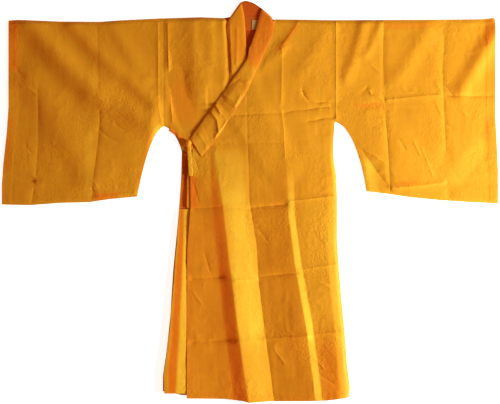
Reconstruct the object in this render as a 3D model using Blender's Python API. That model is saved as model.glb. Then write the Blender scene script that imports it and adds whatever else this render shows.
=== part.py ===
"""Buddhist monk robe with wide square sleeves, laid flat on its back and tied shut.

Metres, +Z up. The collar points to +Y, the wearer's left sleeve lies at +X, and the origin is
the middle of the robe on the surface it lies on. The left front is crossed over the right one
and tied at the wearer's right armpit. Tables give places in centimetres and heights in
millimetres, because the garment is cut in the first and its folds rise in the second.
"""

import math

import bmesh
import bpy
from mathutils import Vector
from mathutils.geometry import delaunay_2d_cdt

CM = 0.01
MM = 0.001

# Driving sizes, in centimetres
SLEEVE_SPAN = 180.0
GARMENT_LENGTH = 145.6
CUFF_X = SLEEVE_SPAN / 2
COLLAR_TOP_Y = GARMENT_LENGTH / 2
HEM_Y = -GARMENT_LENGTH / 2
RIGHT_SEAM_X = -31.2
LEFT_SEAM_X = 30.8
UNDERLAP_SIDE_X = -21.4
SEAM_GAP = 0.03
EDGE_ROLL = 2.5
CURVE_STEPS = 8

# Thicknesses and layers, in millimetres
CLOTH = 1.2
COLLAR = 1.8
TRIM = 1.0
LAYER_GAP = 0.3
SEAM_Z = CLOTH + LAYER_GAP
SLEEVE_RISE = 0.3
UNDERLAP_RISE = 0.2
OVERLAP_RISE = 2.2
OVERLAP_RISE_AT_SIDE = 0.3
HIDDEN_COLLAR_RISE = 2.6
UNDERLAP_PLEAT_SHARE = 0.8

# Mesh spacing and the clear strip beside its edges, in centimetres and as a share of the spacing
SLEEVE_MESH = 3.6
FRONT_MESH = 3.6
BACK_MESH = 12.0
TIE_MESH = 1.5
CLEAR_OF_EDGES = 0.45
SHARP_ANGLE = 35.0

# The shoulder line, from the wearer's right cuff to the left one
SHOULDER_RIGHT = ((-87.5, 65.6), (-83.5, 65.8), (-69.0, 65.2), (-54.4, 65.1), (-47.5, 65.6),
                  (RIGHT_SEAM_X, 66.4))
SHOULDER_RIGHT_BODY = ((RIGHT_SEAM_X, 66.4), (-18.1, 66.8), (-9.8, 66.5))
SHOULDER_LEFT_BODY = ((9.4, 66.0), (20.0, 65.9), (LEFT_SEAM_X, 65.7))
SHOULDER_LEFT = ((LEFT_SEAM_X, 65.7), (60.0, 65.8), (84.0, 66.0), (88.7, 66.5), (89.0, 65.5))

# Cuffs from top to bottom, and the lower sleeve edges from the cuff to the armpit curve
RIGHT_CUFF = ((-87.6, 65.5), (-87.6, 33.9), (-88.2, 25.2), (-89.5, 13.6), (-CUFF_X, 5.6), (-CUFF_X, -1.1))
LEFT_CUFF = ((89.0, 65.5), (89.0, 31.0), (89.6, 19.4), (CUFF_X, 10.7), (CUFF_X, -0.7))
RIGHT_SLEEVE_LOWER = ((-CUFF_X, -1.1), (-79.8, -1.3), (-69.0, -0.5), (-58.1, -0.2), (-50.8, 0.9),
                      (-41.0, 1.8))
LEFT_SLEEVE_LOWER = ((CUFF_X, -0.7), (79.8, -0.2), (69.0, 0.5), (58.1, 1.6), (50.8, 2.7), (42.3, 3.7))

# Armpit curves: start, two handles and end of each cubic curve
RIGHT_SLEEVE_CURVE = ((-41.0, 1.8), (-39.2, 10.7), (-35.9, 25.9), (RIGHT_SEAM_X, 27.3))
LEFT_SLEEVE_CURVE = ((42.3, 3.7), (41.0, 13.2), (37.0, 28.1), (LEFT_SEAM_X, 28.9))
RIGHT_ARMPIT_CURVE = ((RIGHT_SEAM_X, 27.3), (-28.3, 26.7), (-25.8, 22.3), (-24.7, 18.0))

# Body sides from the armpit to the hem
RIGHT_SIDE = ((-24.7, 18.0), (-25.0, 7.8), (-25.9, -4.9), (-27.9, -25.6), (-28.9, -41.6), (-30.3, -54.6),
              (-31.6, -63.3), (-31.6, -68.8))
LEFT_SIDE = ((LEFT_SEAM_X, 28.9), (30.2, 21.6), (30.3, 16.1), (31.3, 9.3), (31.6, 2.0), (31.6, -14.0),
             (32.3, -24.9), (33.2, -35.7), (34.3, -46.6), (35.2, -59.0), (36.3, -67.7), (35.9, -70.9))

# Edges of the fronts and of the back
CENTRE_SEAM = ((-1.2, 47.0), (-1.1, 29.6), (-0.7, 18.0), (0.0, -1.3), (2.5, -15.8), (3.1, -28.5),
               (5.1, -44.8), (7.6, -63.0), (8.7, -72.4))
LEFT_FRONT_NECK = ((9.4, 66.0), (6.2, 63.7), (4.7, 59.3), (2.5, 55.0), (0.4, 50.6), (-1.2, 47.0))
OVERLAP_DIAGONAL = ((-1.2, 47.0), (-3.6, 43.0), (-8.0, 36.5), (-13.1, 28.8), (-18.5, 20.9), (-20.7, 18.5))
OVERLAP_EDGE = ((-20.7, 18.5), (-21.6, 9.3), (-21.5, -2.0), (-22.7, -17.6), (-22.9, -71.4))
OVERLAP_HEM = ((-22.9, -71.4), (-9.1, -71.5), (-2.5, -72.2), (-0.4, HEM_Y), (4.4, -72.5), (8.7, -72.4))
LEFT_FRONT_HEM = ((8.7, -72.4), (14.5, -72.3), (27.6, -72.0), (35.9, -70.9))
UNDERLAP_NECK = ((-9.8, 66.5), (-5.1, 63.0), (-4.5, 51.3), (-3.6, 41.5), (-0.5, 31.9), (4.4, 23.0),
                 (11.1, 13.2), (19.2, 3.3))
UNDERLAP_HIDDEN_EDGE = ((19.2, 3.3), (20.3, -10.3), (22.5, -70.6))
UNDERLAP_SIDE = ((UNDERLAP_SIDE_X, -70.4), (UNDERLAP_SIDE_X, -2.6), (-22.9, -2.2), (-22.8, 8.0),
                 (-22.4, 13.0), (-21.6, 17.0))
BACK_NECK = ((-9.4, 66.5), (-7.2, 66.93), (6.8, 66.97), (8.6, 65.9))
BACK_HEM = ((-31.6, -68.8), (-25.0, -70.2), (0.0, -71.0), (34.9, -70.2))

# The pleats of the skirt, a row for each height: where the two ridges run, how wide the shaded
# flank on their right-hand side is, and how high the ridges, the centre seam and the free edge stand
PLEATS = (
    {"y": 24.0, "ridge_1": -12.8, "ridge_2": 12.3, "flank": 4.0, "top": 0.0, "seam": 0.0, "edge": 1.0},
    {"y": 16.0, "ridge_1": -12.2, "ridge_2": 12.8, "flank": 5.0, "top": 3.0, "seam": 0.3, "edge": 0.4},
    {"y": 8.0, "ridge_1": -11.2, "ridge_2": 13.4, "flank": 6.3, "top": 6.0, "seam": 0.5, "edge": 0.4},
    {"y": -4.9, "ridge_1": -9.4, "ridge_2": 13.8, "flank": 7.6, "top": 10.0, "seam": 0.8, "edge": 2.0},
    {"y": -22.0, "ridge_1": -7.5, "ridge_2": 16.0, "flank": 8.6, "top": 12.5, "seam": 1.0, "edge": 1.8},
    {"y": -44.8, "ridge_1": -4.6, "ridge_2": 20.1, "flank": 9.5, "top": 15.0, "seam": 1.5, "edge": 2.0},
    {"y": -72.8, "ridge_1": -0.6, "ridge_2": 23.8, "flank": 10.0, "top": 17.0, "seam": 2.5, "edge": 2.4},
)
FLANK_FOOT_SHARE = 0.3
FLANK_STEEP_FROM = 0.5
FLANK_RISE_THERE = 0.24
SECOND_FLANK_WIDTH_SHARE = 0.7
SECOND_FLANK_RISE = 0.5
CREST_WIDTH = 2.6
CREST_FOOT_SHARE = 0.74
SIDE_ROLL_FROM = 3.6
SIDE_ROLL_TOP_SHARE = 1.12
SIDE_ROLL_FOOT_SHARE = 0.86
SEAM_KNOT = 4

# The ridge along the left armhole seam, then the pressed creases left by folding the robe
# away: height, half width, and the line
SEAM_RIDGE = {"height": 1.6, "width": 2.0, "line": ((LEFT_SEAM_X, 66.0), (LEFT_SEAM_X, 30.3))}
CREASES = (
    {"height": 1.6, "width": 2.2, "line": ((11.5, 55.0), (11.5, 33.2), (12.4, 22.7))},
    {"height": 1.8, "width": 2.2, "line": ((48.3, 64.9), (48.3, 36.8), (50.8, 3.9))},
    {"height": 1.8, "width": 2.2, "line": ((69.9, 64.4), (69.9, 41.9), (71.8, 0.6))},
    {"height": 1.2, "width": 1.5, "line": ((-33.8, 64.4), (-32.0, 28.0))},
    {"height": 1.4, "width": 1.5, "line": ((-30.0, 64.4), (-28.4, 30.0))},
    {"height": 1.8, "width": 2.2, "line": ((-55.5, 63.3), (-54.6, 32.5), (-57.3, 0.9))},
    {"height": 1.8, "width": 2.2, "line": ((-77.1, 38.3), (-78.0, 7.4), (-78.7, -0.9))},
    {"height": 1.4, "width": 1.8, "line": ((-5.0, 31.4), (10.9, 32.5), (30.8, 35.7), (48.3, 36.0),
                                           (69.0, 38.8), (88.4, 38.4))},
    {"height": 1.6, "width": 2.0, "line": ((50.8, 5.0), (71.0, 7.5), (89.6, 7.5))},
    {"height": 1.6, "width": 2.0, "line": ((-89.6, 9.3), (-78.0, 7.3), (-57.0, 3.8), (-42.1, 2.4))},
    {"height": 1.4, "width": 1.8, "line": ((-21.8, -2.4), (0.5, -2.4), (12.5, -1.2), (29.5, 1.8))},
    {"height": 1.4, "width": 1.8, "line": ((-22.5, -27.8), (2.0, -27.5), (17.0, -26.0), (31.5, -22.9))},
    {"height": 1.4, "width": 1.8, "line": ((-22.7, -51.2), (-4.0, -50.4), (21.0, -48.4), (33.8, -47.0))},
)

# Soft diagonal folds: height, half width, and the line
SOFT_FOLDS = (
    {"height": 7.5, "width": 4.4, "line": ((-78.0, 62.0), (-70.0, 53.5), (-57.0, 40.2), (-44.0, 33.2),
                                           (-36.6, 28.8))},
    {"height": 4.0, "width": 3.2, "line": ((-62.0, 61.0), (-52.0, 50.3), (-40.0, 40.6), (-34.8, 35.0))},
    {"height": 2.6, "width": 3.4, "line": ((-84.0, 46.0), (-74.0, 36.8), (-62.4, 19.8))},
    {"height": 6.0, "width": 3.0, "line": ((86.5, 56.0), (82.7, 49.2), (74.8, 39.0))},
    {"height": 3.2, "width": 2.8, "line": ((68.0, 58.5), (59.9, 46.6), (55.5, 41.9))},
    {"height": 2.6, "width": 1.9, "line": ((42.0, 63.0), (38.8, 54.3))},
    {"height": 2.6, "width": 2.0, "line": ((18.6, 63.5), (13.1, 54.3))},
)

# The pleated gusset under the tied side, a row for each height: places of its turned edge,
# the fold beside it and the crest, and how high the edge and the crest stand
GUSSET = (
    {"y": -2.8, "edge": -25.6, "fold": -25.1, "crest": -24.2, "edge_top": 4.8, "crest_top": 4.2},
    {"y": -14.0, "edge": -26.4, "fold": -25.6, "crest": -24.3, "edge_top": 6.8, "crest_top": 6.0},
    {"y": -32.1, "edge": -28.0, "fold": -27.0, "crest": -25.0, "edge_top": 8.2, "crest_top": 7.2},
    {"y": -46.6, "edge": -29.1, "fold": -28.0, "crest": -25.8, "edge_top": 8.8, "crest_top": 7.7},
    {"y": -63.0, "edge": -31.3, "fold": -29.4, "crest": -26.8, "edge_top": 9.8, "crest_top": 8.6},
    {"y": -69.6, "edge": -31.0, "fold": -29.2, "crest": -27.0, "edge_top": 9.8, "crest_top": 8.6},
)
GUSSET_FOLD_SHARE = 1.07
GUSSET_SHARE_AT_OVERLAP = 0.1
GUSSET_INNER_RISE = 0.2

# The collar band, a row for each section from its hidden end on the right front, round the
# back of the neck, to the armpit. Height is that of its mid-thickness over the skirt's pleats,
# and turn is how far its outer face has rolled over: 0 up, 90 on edge, 180 down
COLLAR_SECTIONS = (
    {"free": (14.2, 15.8), "seam": (8.0, 10.7), "height": 4.1, "turn": 0, "over": 0},
    {"free": (7.3, 24.9), "seam": (1.5, 21.2), "height": 4.1, "turn": 0, "over": 0},
    {"free": (2.5, 33.2), "seam": (-3.6, 30.7), "height": 4.1, "turn": 0, "over": 0},
    {"free": (-0.4, 42.3), "seam": (-6.9, 41.2), "height": 4.1, "turn": 0, "over": 0},
    {"free": (-1.2, 51.4), "seam": (-7.4, 51.4), "height": 4.1, "turn": 0, "over": 0},
    {"free": (-1.5, 58.6), "seam": (-8.0, 57.9), "height": 4.1, "turn": 0, "over": 0},
    {"free": (-1.8, 64.1), "seam": (-8.6, 63.0), "height": 4.1, "turn": 0, "over": 0},
    {"free": (-2.2, 68.0), "seam": (-7.9, 65.7), "height": 4.1, "turn": 0, "over": 0},
    {"free": (-3.0, 71.6), "seam": (-6.9, 66.6), "height": 4.1, "turn": 0, "over": 0},
    {"free": (-3.5, 72.1), "seam": (-7.1, 67.0), "height": 2.5, "turn": 90, "over": 0},
    {"free": (-2.7, 72.5), "seam": (-6.2, 67.1), "height": 1.0, "turn": 180, "over": 0},
    {"free": (-1.3, COLLAR_TOP_Y), "seam": (-1.5, 67.0), "height": 1.0, "turn": 180, "over": 0},
    {"free": (1.1, 72.1), "seam": (2.5, 67.0), "height": 1.0, "turn": 180, "over": 0},
    {"free": (3.4, 70.7), "seam": (6.8, 67.0), "height": 1.0, "turn": 180, "over": 0},
    {"free": (4.3, 70.0), "seam": (8.1, 66.6), "height": 3.2, "turn": 90, "over": 0},
    {"free": (4.0, 69.3), "seam": (8.1, 66.0), "height": 6.3, "turn": 0, "over": 0},
    {"free": (3.2, 66.6), "seam": (8.6, 64.0), "height": 6.6, "turn": 0, "over": 1},
    {"free": (2.1, 62.2), "seam": (8.0, 60.1), "height": 6.6, "turn": 0, "over": 1},
    {"free": (0.7, 58.1), "seam": (6.4, 56.4), "height": 6.6, "turn": 0, "over": 1},
    {"free": (-0.4, 55.0), "seam": (4.5, 52.4), "height": 6.6, "turn": 0, "over": 1},
    {"free": (-1.2, 51.4), "seam": (2.9, 49.0), "height": 6.6, "turn": 0, "over": 1},
    {"free": (-3.6, 48.0), "seam": (1.1, 44.8), "height": 6.6, "turn": 0, "over": 1},
    {"free": (-7.6, 42.4), "seam": (-1.8, 38.7), "height": 6.6, "turn": 0, "over": 1},
    {"free": (-13.1, 34.8), "seam": (-7.6, 29.8), "height": 6.6, "turn": 0, "over": 1},
    {"free": (-17.4, 28.7), "seam": (-12.3, 22.5), "height": 6.6, "turn": 0, "over": 1},
    {"free": (-21.6, 22.9), "seam": (-17.6, 16.3), "height": 6.6, "turn": 0, "over": 1},
)
COLLAR_ACROSS = 4
COLLAR_STEPS = 3
HIDDEN_COLLAR_HALF_WIDTH = 4.4
HIDDEN_COLLAR_FADE = 5.0

# Small pieces: the strip that faces the back of the neck, its blank label, and the side tie
FACING = {"left": -3.8, "right": 4.6, "bottom": 62.2, "top": 66.6}
LABEL = {"left": 0.7, "right": 3.4, "bottom": 62.4, "top": 65.8}
TIE_WIDTH = 1.3
SIDE_TIE = ((-29.2, 26.3), (-26.4, 24.2), (-23.6, 21.9))
TIE_END = ((-22.3, 19.75), (-21.9, 15.0), (-21.3, 9.3))
KNOT_CENTRE = (-22.4, 21.0)
KNOT_RADII = (1.05, 1.2, 0.5)
KNOT_AROUND = 14
KNOT_UP = 8

# Colours, linear
GOLD = (0.86, 0.29, 0.011)
DEEP_GOLD = (0.70, 0.19, 0.006)
COLLAR_GOLD = (0.88, 0.30, 0.012)
LABEL_CREAM = (0.78, 0.62, 0.33)


def clear_scene():
    for thing in list(bpy.data.objects):
        bpy.data.objects.remove(thing, do_unlink=True)


def smooth_step(value):
    value = min(max(value, 0.0), 1.0)
    return value * value * (3.0 - 2.0 * value)


def at_height(rows, y):
    """Columns of a table at height y, its rows being listed from the top down."""
    if y >= rows[0]["y"]:
        return dict(rows[0])
    for above, below in zip(rows, rows[1:]):
        if y >= below["y"]:
            share = (above["y"] - y) / (above["y"] - below["y"])
            return {key: above[key] + share * (below[key] - above[key]) for key in above}
    return dict(rows[-1])


def x_on(line, y):
    """Where a line that runs downwards stands at height y."""
    for (x_above, y_above), (x_below, y_below) in zip(line, line[1:]):
        if y >= y_below:
            share = min(max((y_above - y) / (y_above - y_below), 0.0), 1.0)
            return x_above + share * (x_below - x_above)
    return line[-1][0]


def interpolate(knots, x):
    """Height at x between knots listed from left to right, level beyond the ends."""
    if x <= knots[0][0]:
        return knots[0][1]
    for (x_left, left), (x_right, right) in zip(knots, knots[1:]):
        if x <= x_right:
            return left + (x - x_left) / (x_right - x_left) * (right - left)
    return knots[-1][1]


def distance_to(line, x, y):
    nearest = math.inf
    for (ax, ay), (bx, by) in zip(line, line[1:]):
        dx, dy = bx - ax, by - ay
        share = min(max(((x - ax) * dx + (y - ay) * dy) / (dx * dx + dy * dy), 0.0), 1.0)
        nearest = min(nearest, math.hypot(x - ax - share * dx, y - ay - share * dy))
    return nearest


def cubic(handles, steps=CURVE_STEPS):
    """Points along a cubic curve, both ends included."""
    points = []
    for step in range(steps + 1):
        t = step / steps
        weights = ((1 - t) ** 3, 3 * t * (1 - t) ** 2, 3 * t * t * (1 - t), t ** 3)
        points.append(tuple(sum(w * h[axis] for w, h in zip(weights, handles)) for axis in (0, 1)))
    return tuple(points)


def joined(*lines):
    """One line from lines that follow each other, without doubled points."""
    points = []
    for line in lines:
        for point in line:
            if not points or math.dist(point, points[-1]) > SEAM_GAP:
                points.append(point)
    if math.dist(points[0], points[-1]) <= SEAM_GAP:
        points.pop()
    return tuple(points)


def shifted(line, dx=0.0, dy=0.0):
    return tuple((x + dx, y + dy) for x, y in line)


def spaced(line, spacing):
    """The line with more points, so that none of its stretches is longer than the spacing."""
    points = [line[0]]
    for (ax, ay), (bx, by) in zip(line, line[1:]):
        steps = max(1, math.ceil(math.hypot(bx - ax, by - ay) / spacing))
        for step in range(1, steps + 1):
            points.append((ax + (bx - ax) * step / steps, ay + (by - ay) * step / steps))
    return tuple(points)


# Edges where the front layer comes down to the back one
RIGHT_CLOSED = (
    joined(SHOULDER_RIGHT, SHOULDER_RIGHT_BODY),
    joined(RIGHT_SLEEVE_LOWER, cubic(RIGHT_SLEEVE_CURVE), cubic(RIGHT_ARMPIT_CURVE)),
)
LEFT_CLOSED = (
    joined(SHOULDER_LEFT_BODY, SHOULDER_LEFT),
    joined(LEFT_SLEEVE_LOWER, cubic(LEFT_SLEEVE_CURVE), LEFT_SIDE),
)
HIDDEN_COLLAR_LINE = tuple(
    ((row["free"][0] + row["seam"][0]) / 2, (row["free"][1] + row["seam"][1]) / 2)
    for row in COLLAR_SECTIONS[:6]
)


VISIBLE_COLLAR_LINE = tuple(
    ((row["free"][0] + row["seam"][0]) / 2, (row["free"][1] + row["seam"][1]) / 2)
    for row in COLLAR_SECTIONS if row["over"]
)

# The right front shows as far as the collar's outer seam and the overlap's diagonal
UNDERLAP_SHOWN_TO = ((-8.9, 66.8), (-8.9, 63.0), (-7.8, 51.4), (-8.6, 42.5), (-14.0, 35.0), (-22.6, 22.9),
                     (-22.6, 18.5))


def edge_share(closed_lines, x, y):
    nearest = min(distance_to(line, x, y) for line in closed_lines)
    return smooth_step(nearest / EDGE_ROLL)


def pleat_knots(y):
    """Places and heights across the skirt, from its free edge to its left side."""
    row = at_height(PLEATS, y)
    side = x_on(LEFT_SIDE, y)
    top, seam, flank = row["top"], row["seam"], row["flank"]
    foot = top * FLANK_FOOT_SHARE
    return (
        (x_on(OVERLAP_EDGE, y), row["edge"]),
        (row["ridge_1"] - flank, foot),
        (row["ridge_1"] - flank * (1.0 - FLANK_STEEP_FROM), foot + FLANK_RISE_THERE * (top - foot)),
        (row["ridge_1"], top),
        (x_on(CENTRE_SEAM, y), seam),
        (row["ridge_2"] - flank * SECOND_FLANK_WIDTH_SHARE, seam + SECOND_FLANK_RISE * (top - seam)),
        (row["ridge_2"], top),
        (row["ridge_2"] + CREST_WIDTH, top * CREST_FOOT_SHARE),
        (side - SIDE_ROLL_FROM, top * SIDE_ROLL_TOP_SHARE),
        (side, top * SIDE_ROLL_FOOT_SHARE),
    )


def pleats(x, y):
    return interpolate(pleat_knots(y), x)


def surface_folds(x, y):
    """Height that the creases and the soft folds add to the uppermost layer."""
    crease = sum(
        row["height"] * max(0.0, 1.0 - distance_to(row["line"], x, y) / row["width"])
        for row in (SEAM_RIDGE, *CREASES)
    )
    soft = sum(
        row["height"] * math.exp(-((distance_to(row["line"], x, y) / row["width"]) ** 2))
        for row in SOFT_FOLDS
    )
    return crease + soft


def over_hidden_collar(x, y):
    beyond = distance_to(HIDDEN_COLLAR_LINE, x, y) - HIDDEN_COLLAR_HALF_WIDTH
    return HIDDEN_COLLAR_RISE * (1.0 - smooth_step(beyond / HIDDEN_COLLAR_FADE))


def clear_of_collar(x, y):
    return smooth_step((distance_to(VISIBLE_COLLAR_LINE, x, y) - HIDDEN_COLLAR_HALF_WIDTH) / EDGE_ROLL)


def sleeve_height(closed_lines):
    def height(x, y):
        return SEAM_Z + edge_share(closed_lines, x, y) * (SLEEVE_RISE + surface_folds(x, y))
    return height


def underlap_height(x, y):
    """Height of the right front's lower face. Folds show only where nothing covers it."""
    covered = smooth_step((x - x_on(UNDERLAP_SHOWN_TO, y)) / -EDGE_ROLL) if y > OVERLAP_EDGE[0][1] else 0.0
    lift = UNDERLAP_RISE + UNDERLAP_PLEAT_SHARE * pleats(x, y) + covered * surface_folds(x, y)
    return SEAM_Z + edge_share(RIGHT_CLOSED, x, y) * lift


def left_front_height(x, y):
    """Height of the lower face of the left front and of the overlap, which lies on the right front."""
    towards_side = smooth_step((LEFT_SEAM_X - x) / (LEFT_SEAM_X - UNDERLAP_HIDDEN_EDGE[0][0]))
    rise = OVERLAP_RISE_AT_SIDE + towards_side * (OVERLAP_RISE - OVERLAP_RISE_AT_SIDE)
    lift = rise + over_hidden_collar(x, y) + pleats(x, y) + clear_of_collar(x, y) * surface_folds(x, y)
    return SEAM_Z + edge_share(LEFT_CLOSED, x, y) * lift


def material(name, colour, roughness=0.8):
    """Matt cloth of one colour."""
    made = bpy.data.materials.get(name) or bpy.data.materials.new(name)
    made.use_nodes = True
    shader = made.node_tree.nodes["Principled BSDF"]
    shader.inputs["Base Color"].default_value = (*colour, 1.0)
    shader.inputs["Roughness"].default_value = roughness
    shader.inputs["Metallic"].default_value = 0.0
    return made


def add_object(name, points, faces, finish):
    """A closed mesh as a named object. Points are in metres."""
    mesh = bpy.data.meshes.new(name)
    mesh.from_pydata([Vector(point) for point in points], [], faces)
    shape = bmesh.new()
    shape.from_mesh(mesh)
    bmesh.ops.recalc_face_normals(shape, faces=shape.faces)
    bmesh.ops.triangulate(shape, faces=shape.faces)
    shape.to_mesh(mesh)
    shape.free()
    mesh.shade_smooth()
    mesh.set_sharp_from_angle(angle=math.radians(SHARP_ANGLE))
    mesh.materials.append(finish)
    piece = bpy.data.objects.new(name, mesh)
    bpy.context.scene.collection.objects.link(piece)
    return piece


def triangulated(outline, fold_lines, spacing):
    """Triangles inside an outline, with edges along the fold lines and a lattice between them."""
    outline = spaced(outline + outline[:1], spacing)[:-1]
    points = [Vector(point) for point in outline]
    edges = [(index, (index + 1) % len(points)) for index in range(len(points))]
    walls = [outline + outline[:1]]
    for line in fold_lines:
        line = spaced(line, spacing)
        first = len(points)
        points.extend(Vector(point) for point in line)
        edges.extend((first + index, first + index + 1) for index in range(len(line) - 1))
        walls.append(line)
    left, right = min(x for x, _ in outline), max(x for x, _ in outline)
    bottom, top = min(y for _, y in outline), max(y for _, y in outline)
    row_step = spacing * math.sqrt(3) / 2
    for row in range(math.ceil((top - bottom) / row_step)):
        y = bottom + row * row_step
        for column in range(math.ceil((right - left) / spacing) + 1):
            x = left + (column + 0.5 * (row % 2)) * spacing
            if all(distance_to(wall, x, y) > spacing * CLEAR_OF_EDGES for wall in walls):
                points.append(Vector((x, y)))
    found, _, triangles, *_ = delaunay_2d_cdt(points, edges, [], 1, 1e-4)
    used = sorted({corner for triangle in triangles for corner in triangle})
    number = {corner: index for index, corner in enumerate(used)}
    flat = [(found[corner].x, found[corner].y) for corner in used]
    return flat, [tuple(number[corner] for corner in triangle) for triangle in triangles]


def rim_of(triangles):
    """Edges with one triangle, each in the direction its triangle gives it."""
    sides = {(a, b) for triangle in triangles for a, b in zip(triangle, triangle[1:] + triangle[:1])}
    return [(a, b) for a, b in sides if (b, a) not in sides]


def cloth_panel(name, outline, lower_height, finish, fold_lines=(), spacing=FRONT_MESH, thickness=CLOTH):
    """A sheet of even thickness whose lower face follows a height function."""
    flat, triangles = triangulated(outline, fold_lines, spacing)
    count = len(flat)
    lower = [(x * CM, y * CM, lower_height(x, y) * MM) for x, y in flat]
    upper = [(x, y, z + thickness * MM) for x, y, z in lower]
    faces = [tuple(reversed(triangle)) for triangle in triangles]
    faces += [tuple(corner + count for corner in triangle) for triangle in triangles]
    faces += [(a, b, b + count, a + count) for a, b in rim_of(triangles)]
    return add_object(name, lower + upper, faces, finish)


def sleeve(name, outline, open_lines, upper_height, finish, fold_lines):
    """A flattened tube: a front and a back layer, joined at the fold and the seam, open at both ends."""
    flat, triangles = triangulated(outline, fold_lines, SLEEVE_MESH)
    count = len(flat)
    rim = rim_of(triangles)
    is_open = {
        (a, b) for a, b in rim
        if any(all(distance_to(line, *flat[end]) < SEAM_GAP for end in (a, b)) for line in open_lines)
    }
    closed = [edge for edge in rim if edge not in is_open]
    inward = dict.fromkeys(range(count), (0.0, 0.0))
    for a, b in closed:
        length = math.dist(flat[a], flat[b])
        normal = ((flat[a][1] - flat[b][1]) / length, (flat[b][0] - flat[a][0]) / length)
        for corner in (a, b):
            inward[corner] = (inward[corner][0] + normal[0], inward[corner][1] + normal[1])
    corners_of = [{corner for edge in edges for corner in edge} for edges in (is_open, closed)]
    mouth_corners = corners_of[0] & corners_of[1]
    inner = []
    for index, (x, y) in enumerate(flat):
        dx, dy = (0.0, inward[index][1]) if index in mouth_corners else inward[index]
        size = math.hypot(dx, dy) or 1.0
        inner.append((x + dx / size * CLOTH * MM / CM, y + dy / size * CLOTH * MM / CM))
    below = [upper_height(x, y) for x, y in flat]
    layers = [
        [(x * CM, y * CM, (z + CLOTH) * MM) for (x, y), z in zip(flat, below)],
        [(x * CM, y * CM, z * MM) for (x, y), z in zip(inner, below)],
        [(x * CM, y * CM, CLOTH * MM) for x, y in inner],
        [(x * CM, y * CM, 0.0) for x, y in flat],
    ]
    points = [point for layer in layers for point in layer]
    faces = []
    for layer, upwards in enumerate((True, False, True, False)):
        for triangle in triangles:
            corners = triangle if upwards else tuple(reversed(triangle))
            faces.append(tuple(corner + layer * count for corner in corners))
    for a, b in closed:
        faces.append((a + 3 * count, b + 3 * count, b, a))
        faces.append((a + count, b + count, b + 2 * count, a + 2 * count))
    for a, b in is_open:
        faces.append((a + count, b + count, b, a))
        faces.append((a + 3 * count, b + 3 * count, b + 2 * count, a + 2 * count))
    for corner in mouth_corners:
        faces.append(tuple(corner + layer * count for layer in range(4)))
    return add_object(name, points, faces, finish)


def loft(name, sections, finish):
    """A solid through loops of points, one loop to a section, capped at both ends."""
    size = len(sections[0])
    points = [point for section in sections for point in section]
    faces = [tuple(range(size)), tuple(reversed(range(len(points) - size, len(points))))]
    for first in range(0, len(points) - size, size):
        for index in range(size):
            other = (index + 1) % size
            faces.append((first + index, first + other, first + size + other, first + size + index))
    return add_object(name, points, faces, finish)


def collar_section(row):
    """The loop round one section of the collar: its outer face, then its inner face back."""
    (free_x, free_y), (seam_x, seam_y) = row["free"], row["seam"]
    across = Vector((seam_x - free_x, seam_y - free_y, 0.0)).normalized()
    outward = Vector((-across.y, across.x, 0.0))
    centre_x = (FACING["left"] + FACING["right"]) / 2
    if outward.x * (free_x - centre_x) < 0:
        outward.negate()
    turn = math.radians(row["turn"])
    normal = Vector((0, 0, 1)) * math.cos(turn) + outward * math.sin(turn)
    outer, inner = [], []
    for step in range(COLLAR_ACROSS + 1):
        share = step / COLLAR_ACROSS
        x = free_x + share * (seam_x - free_x)
        y = free_y + share * (seam_y - free_y)
        height = row["height"] + pleats(x, y) * (1.0 if row["over"] else UNDERLAP_PLEAT_SHARE)
        height += over_hidden_collar(x, y) if row["over"] else 0.0
        middle = Vector((x * CM, y * CM, height * MM))
        outer.append(middle + normal * (COLLAR * MM / 2))
        inner.append(middle - normal * (COLLAR * MM / 2))
    return outer + inner[::-1]


def collar_rows():
    """The collar's sections with evenly spaced ones between them, except round its two folds."""
    rows = [COLLAR_SECTIONS[0]]
    for first, last in zip(COLLAR_SECTIONS, COLLAR_SECTIONS[1:]):
        steps = COLLAR_STEPS if first["turn"] == last["turn"] else 1
        for step in range(1, steps + 1):
            share = step / steps
            row = {"turn": last["turn"], "over": last["over"]}
            row["height"] = first["height"] + share * (last["height"] - first["height"])
            for edge in ("free", "seam"):
                row[edge] = tuple(a + share * (b - a) for a, b in zip(first[edge], last[edge]))
            rows.append(row)
    return rows


def strip_along(name, line, width, lower_height, thickness, finish):
    """A narrow tape along a line, lying on a height function."""
    sections = []
    for index, (x, y) in enumerate(line):
        before, after = line[max(index - 1, 0)], line[min(index + 1, len(line) - 1)]
        length = math.dist(before, after)
        side = ((before[1] - after[1]) / length * width / 2, (after[0] - before[0]) / length * width / 2)
        low = max(lower_height(x + side[0] * at, y + side[1] * at) for at in (-1, 0, 1))
        left = ((x + side[0]) * CM, (y + side[1]) * CM)
        right = ((x - side[0]) * CM, (y - side[1]) * CM)
        low, high = low * MM, (low + thickness) * MM
        sections.append([(*left, low), (*right, low), (*right, high), (*left, high)])
    return loft(name, sections, finish)


def pleat_lines():
    """The lines that the pleats' knots draw, right of the centre seam and left of it."""
    rows = [(row["y"], pleat_knots(row["y"])) for row in PLEATS]
    lines = [tuple((knots[column][0], y) for y, knots in rows) for column in range(len(rows[0][1]))]
    return lines[1:SEAM_KNOT], lines[SEAM_KNOT + 1:-1]


def add_back():
    outline = joined(
        shifted(SHOULDER_RIGHT_BODY, dx=SEAM_GAP)[:1], SHOULDER_RIGHT_BODY[1:2], BACK_NECK,
        SHOULDER_LEFT_BODY[1:2], shifted(SHOULDER_LEFT_BODY, dx=-SEAM_GAP)[-1:],
        shifted(LEFT_SIDE[:1], dx=-SEAM_GAP), LEFT_SIDE[1:-1], BACK_HEM[::-1], RIGHT_SIDE[::-1],
        cubic(RIGHT_ARMPIT_CURVE)[-2:0:-1], shifted(RIGHT_ARMPIT_CURVE[:1], dx=SEAM_GAP),
    )
    cloth_panel("back", outline, lambda x, y: 0.0, material("gold cloth", GOLD), spacing=BACK_MESH)


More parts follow.
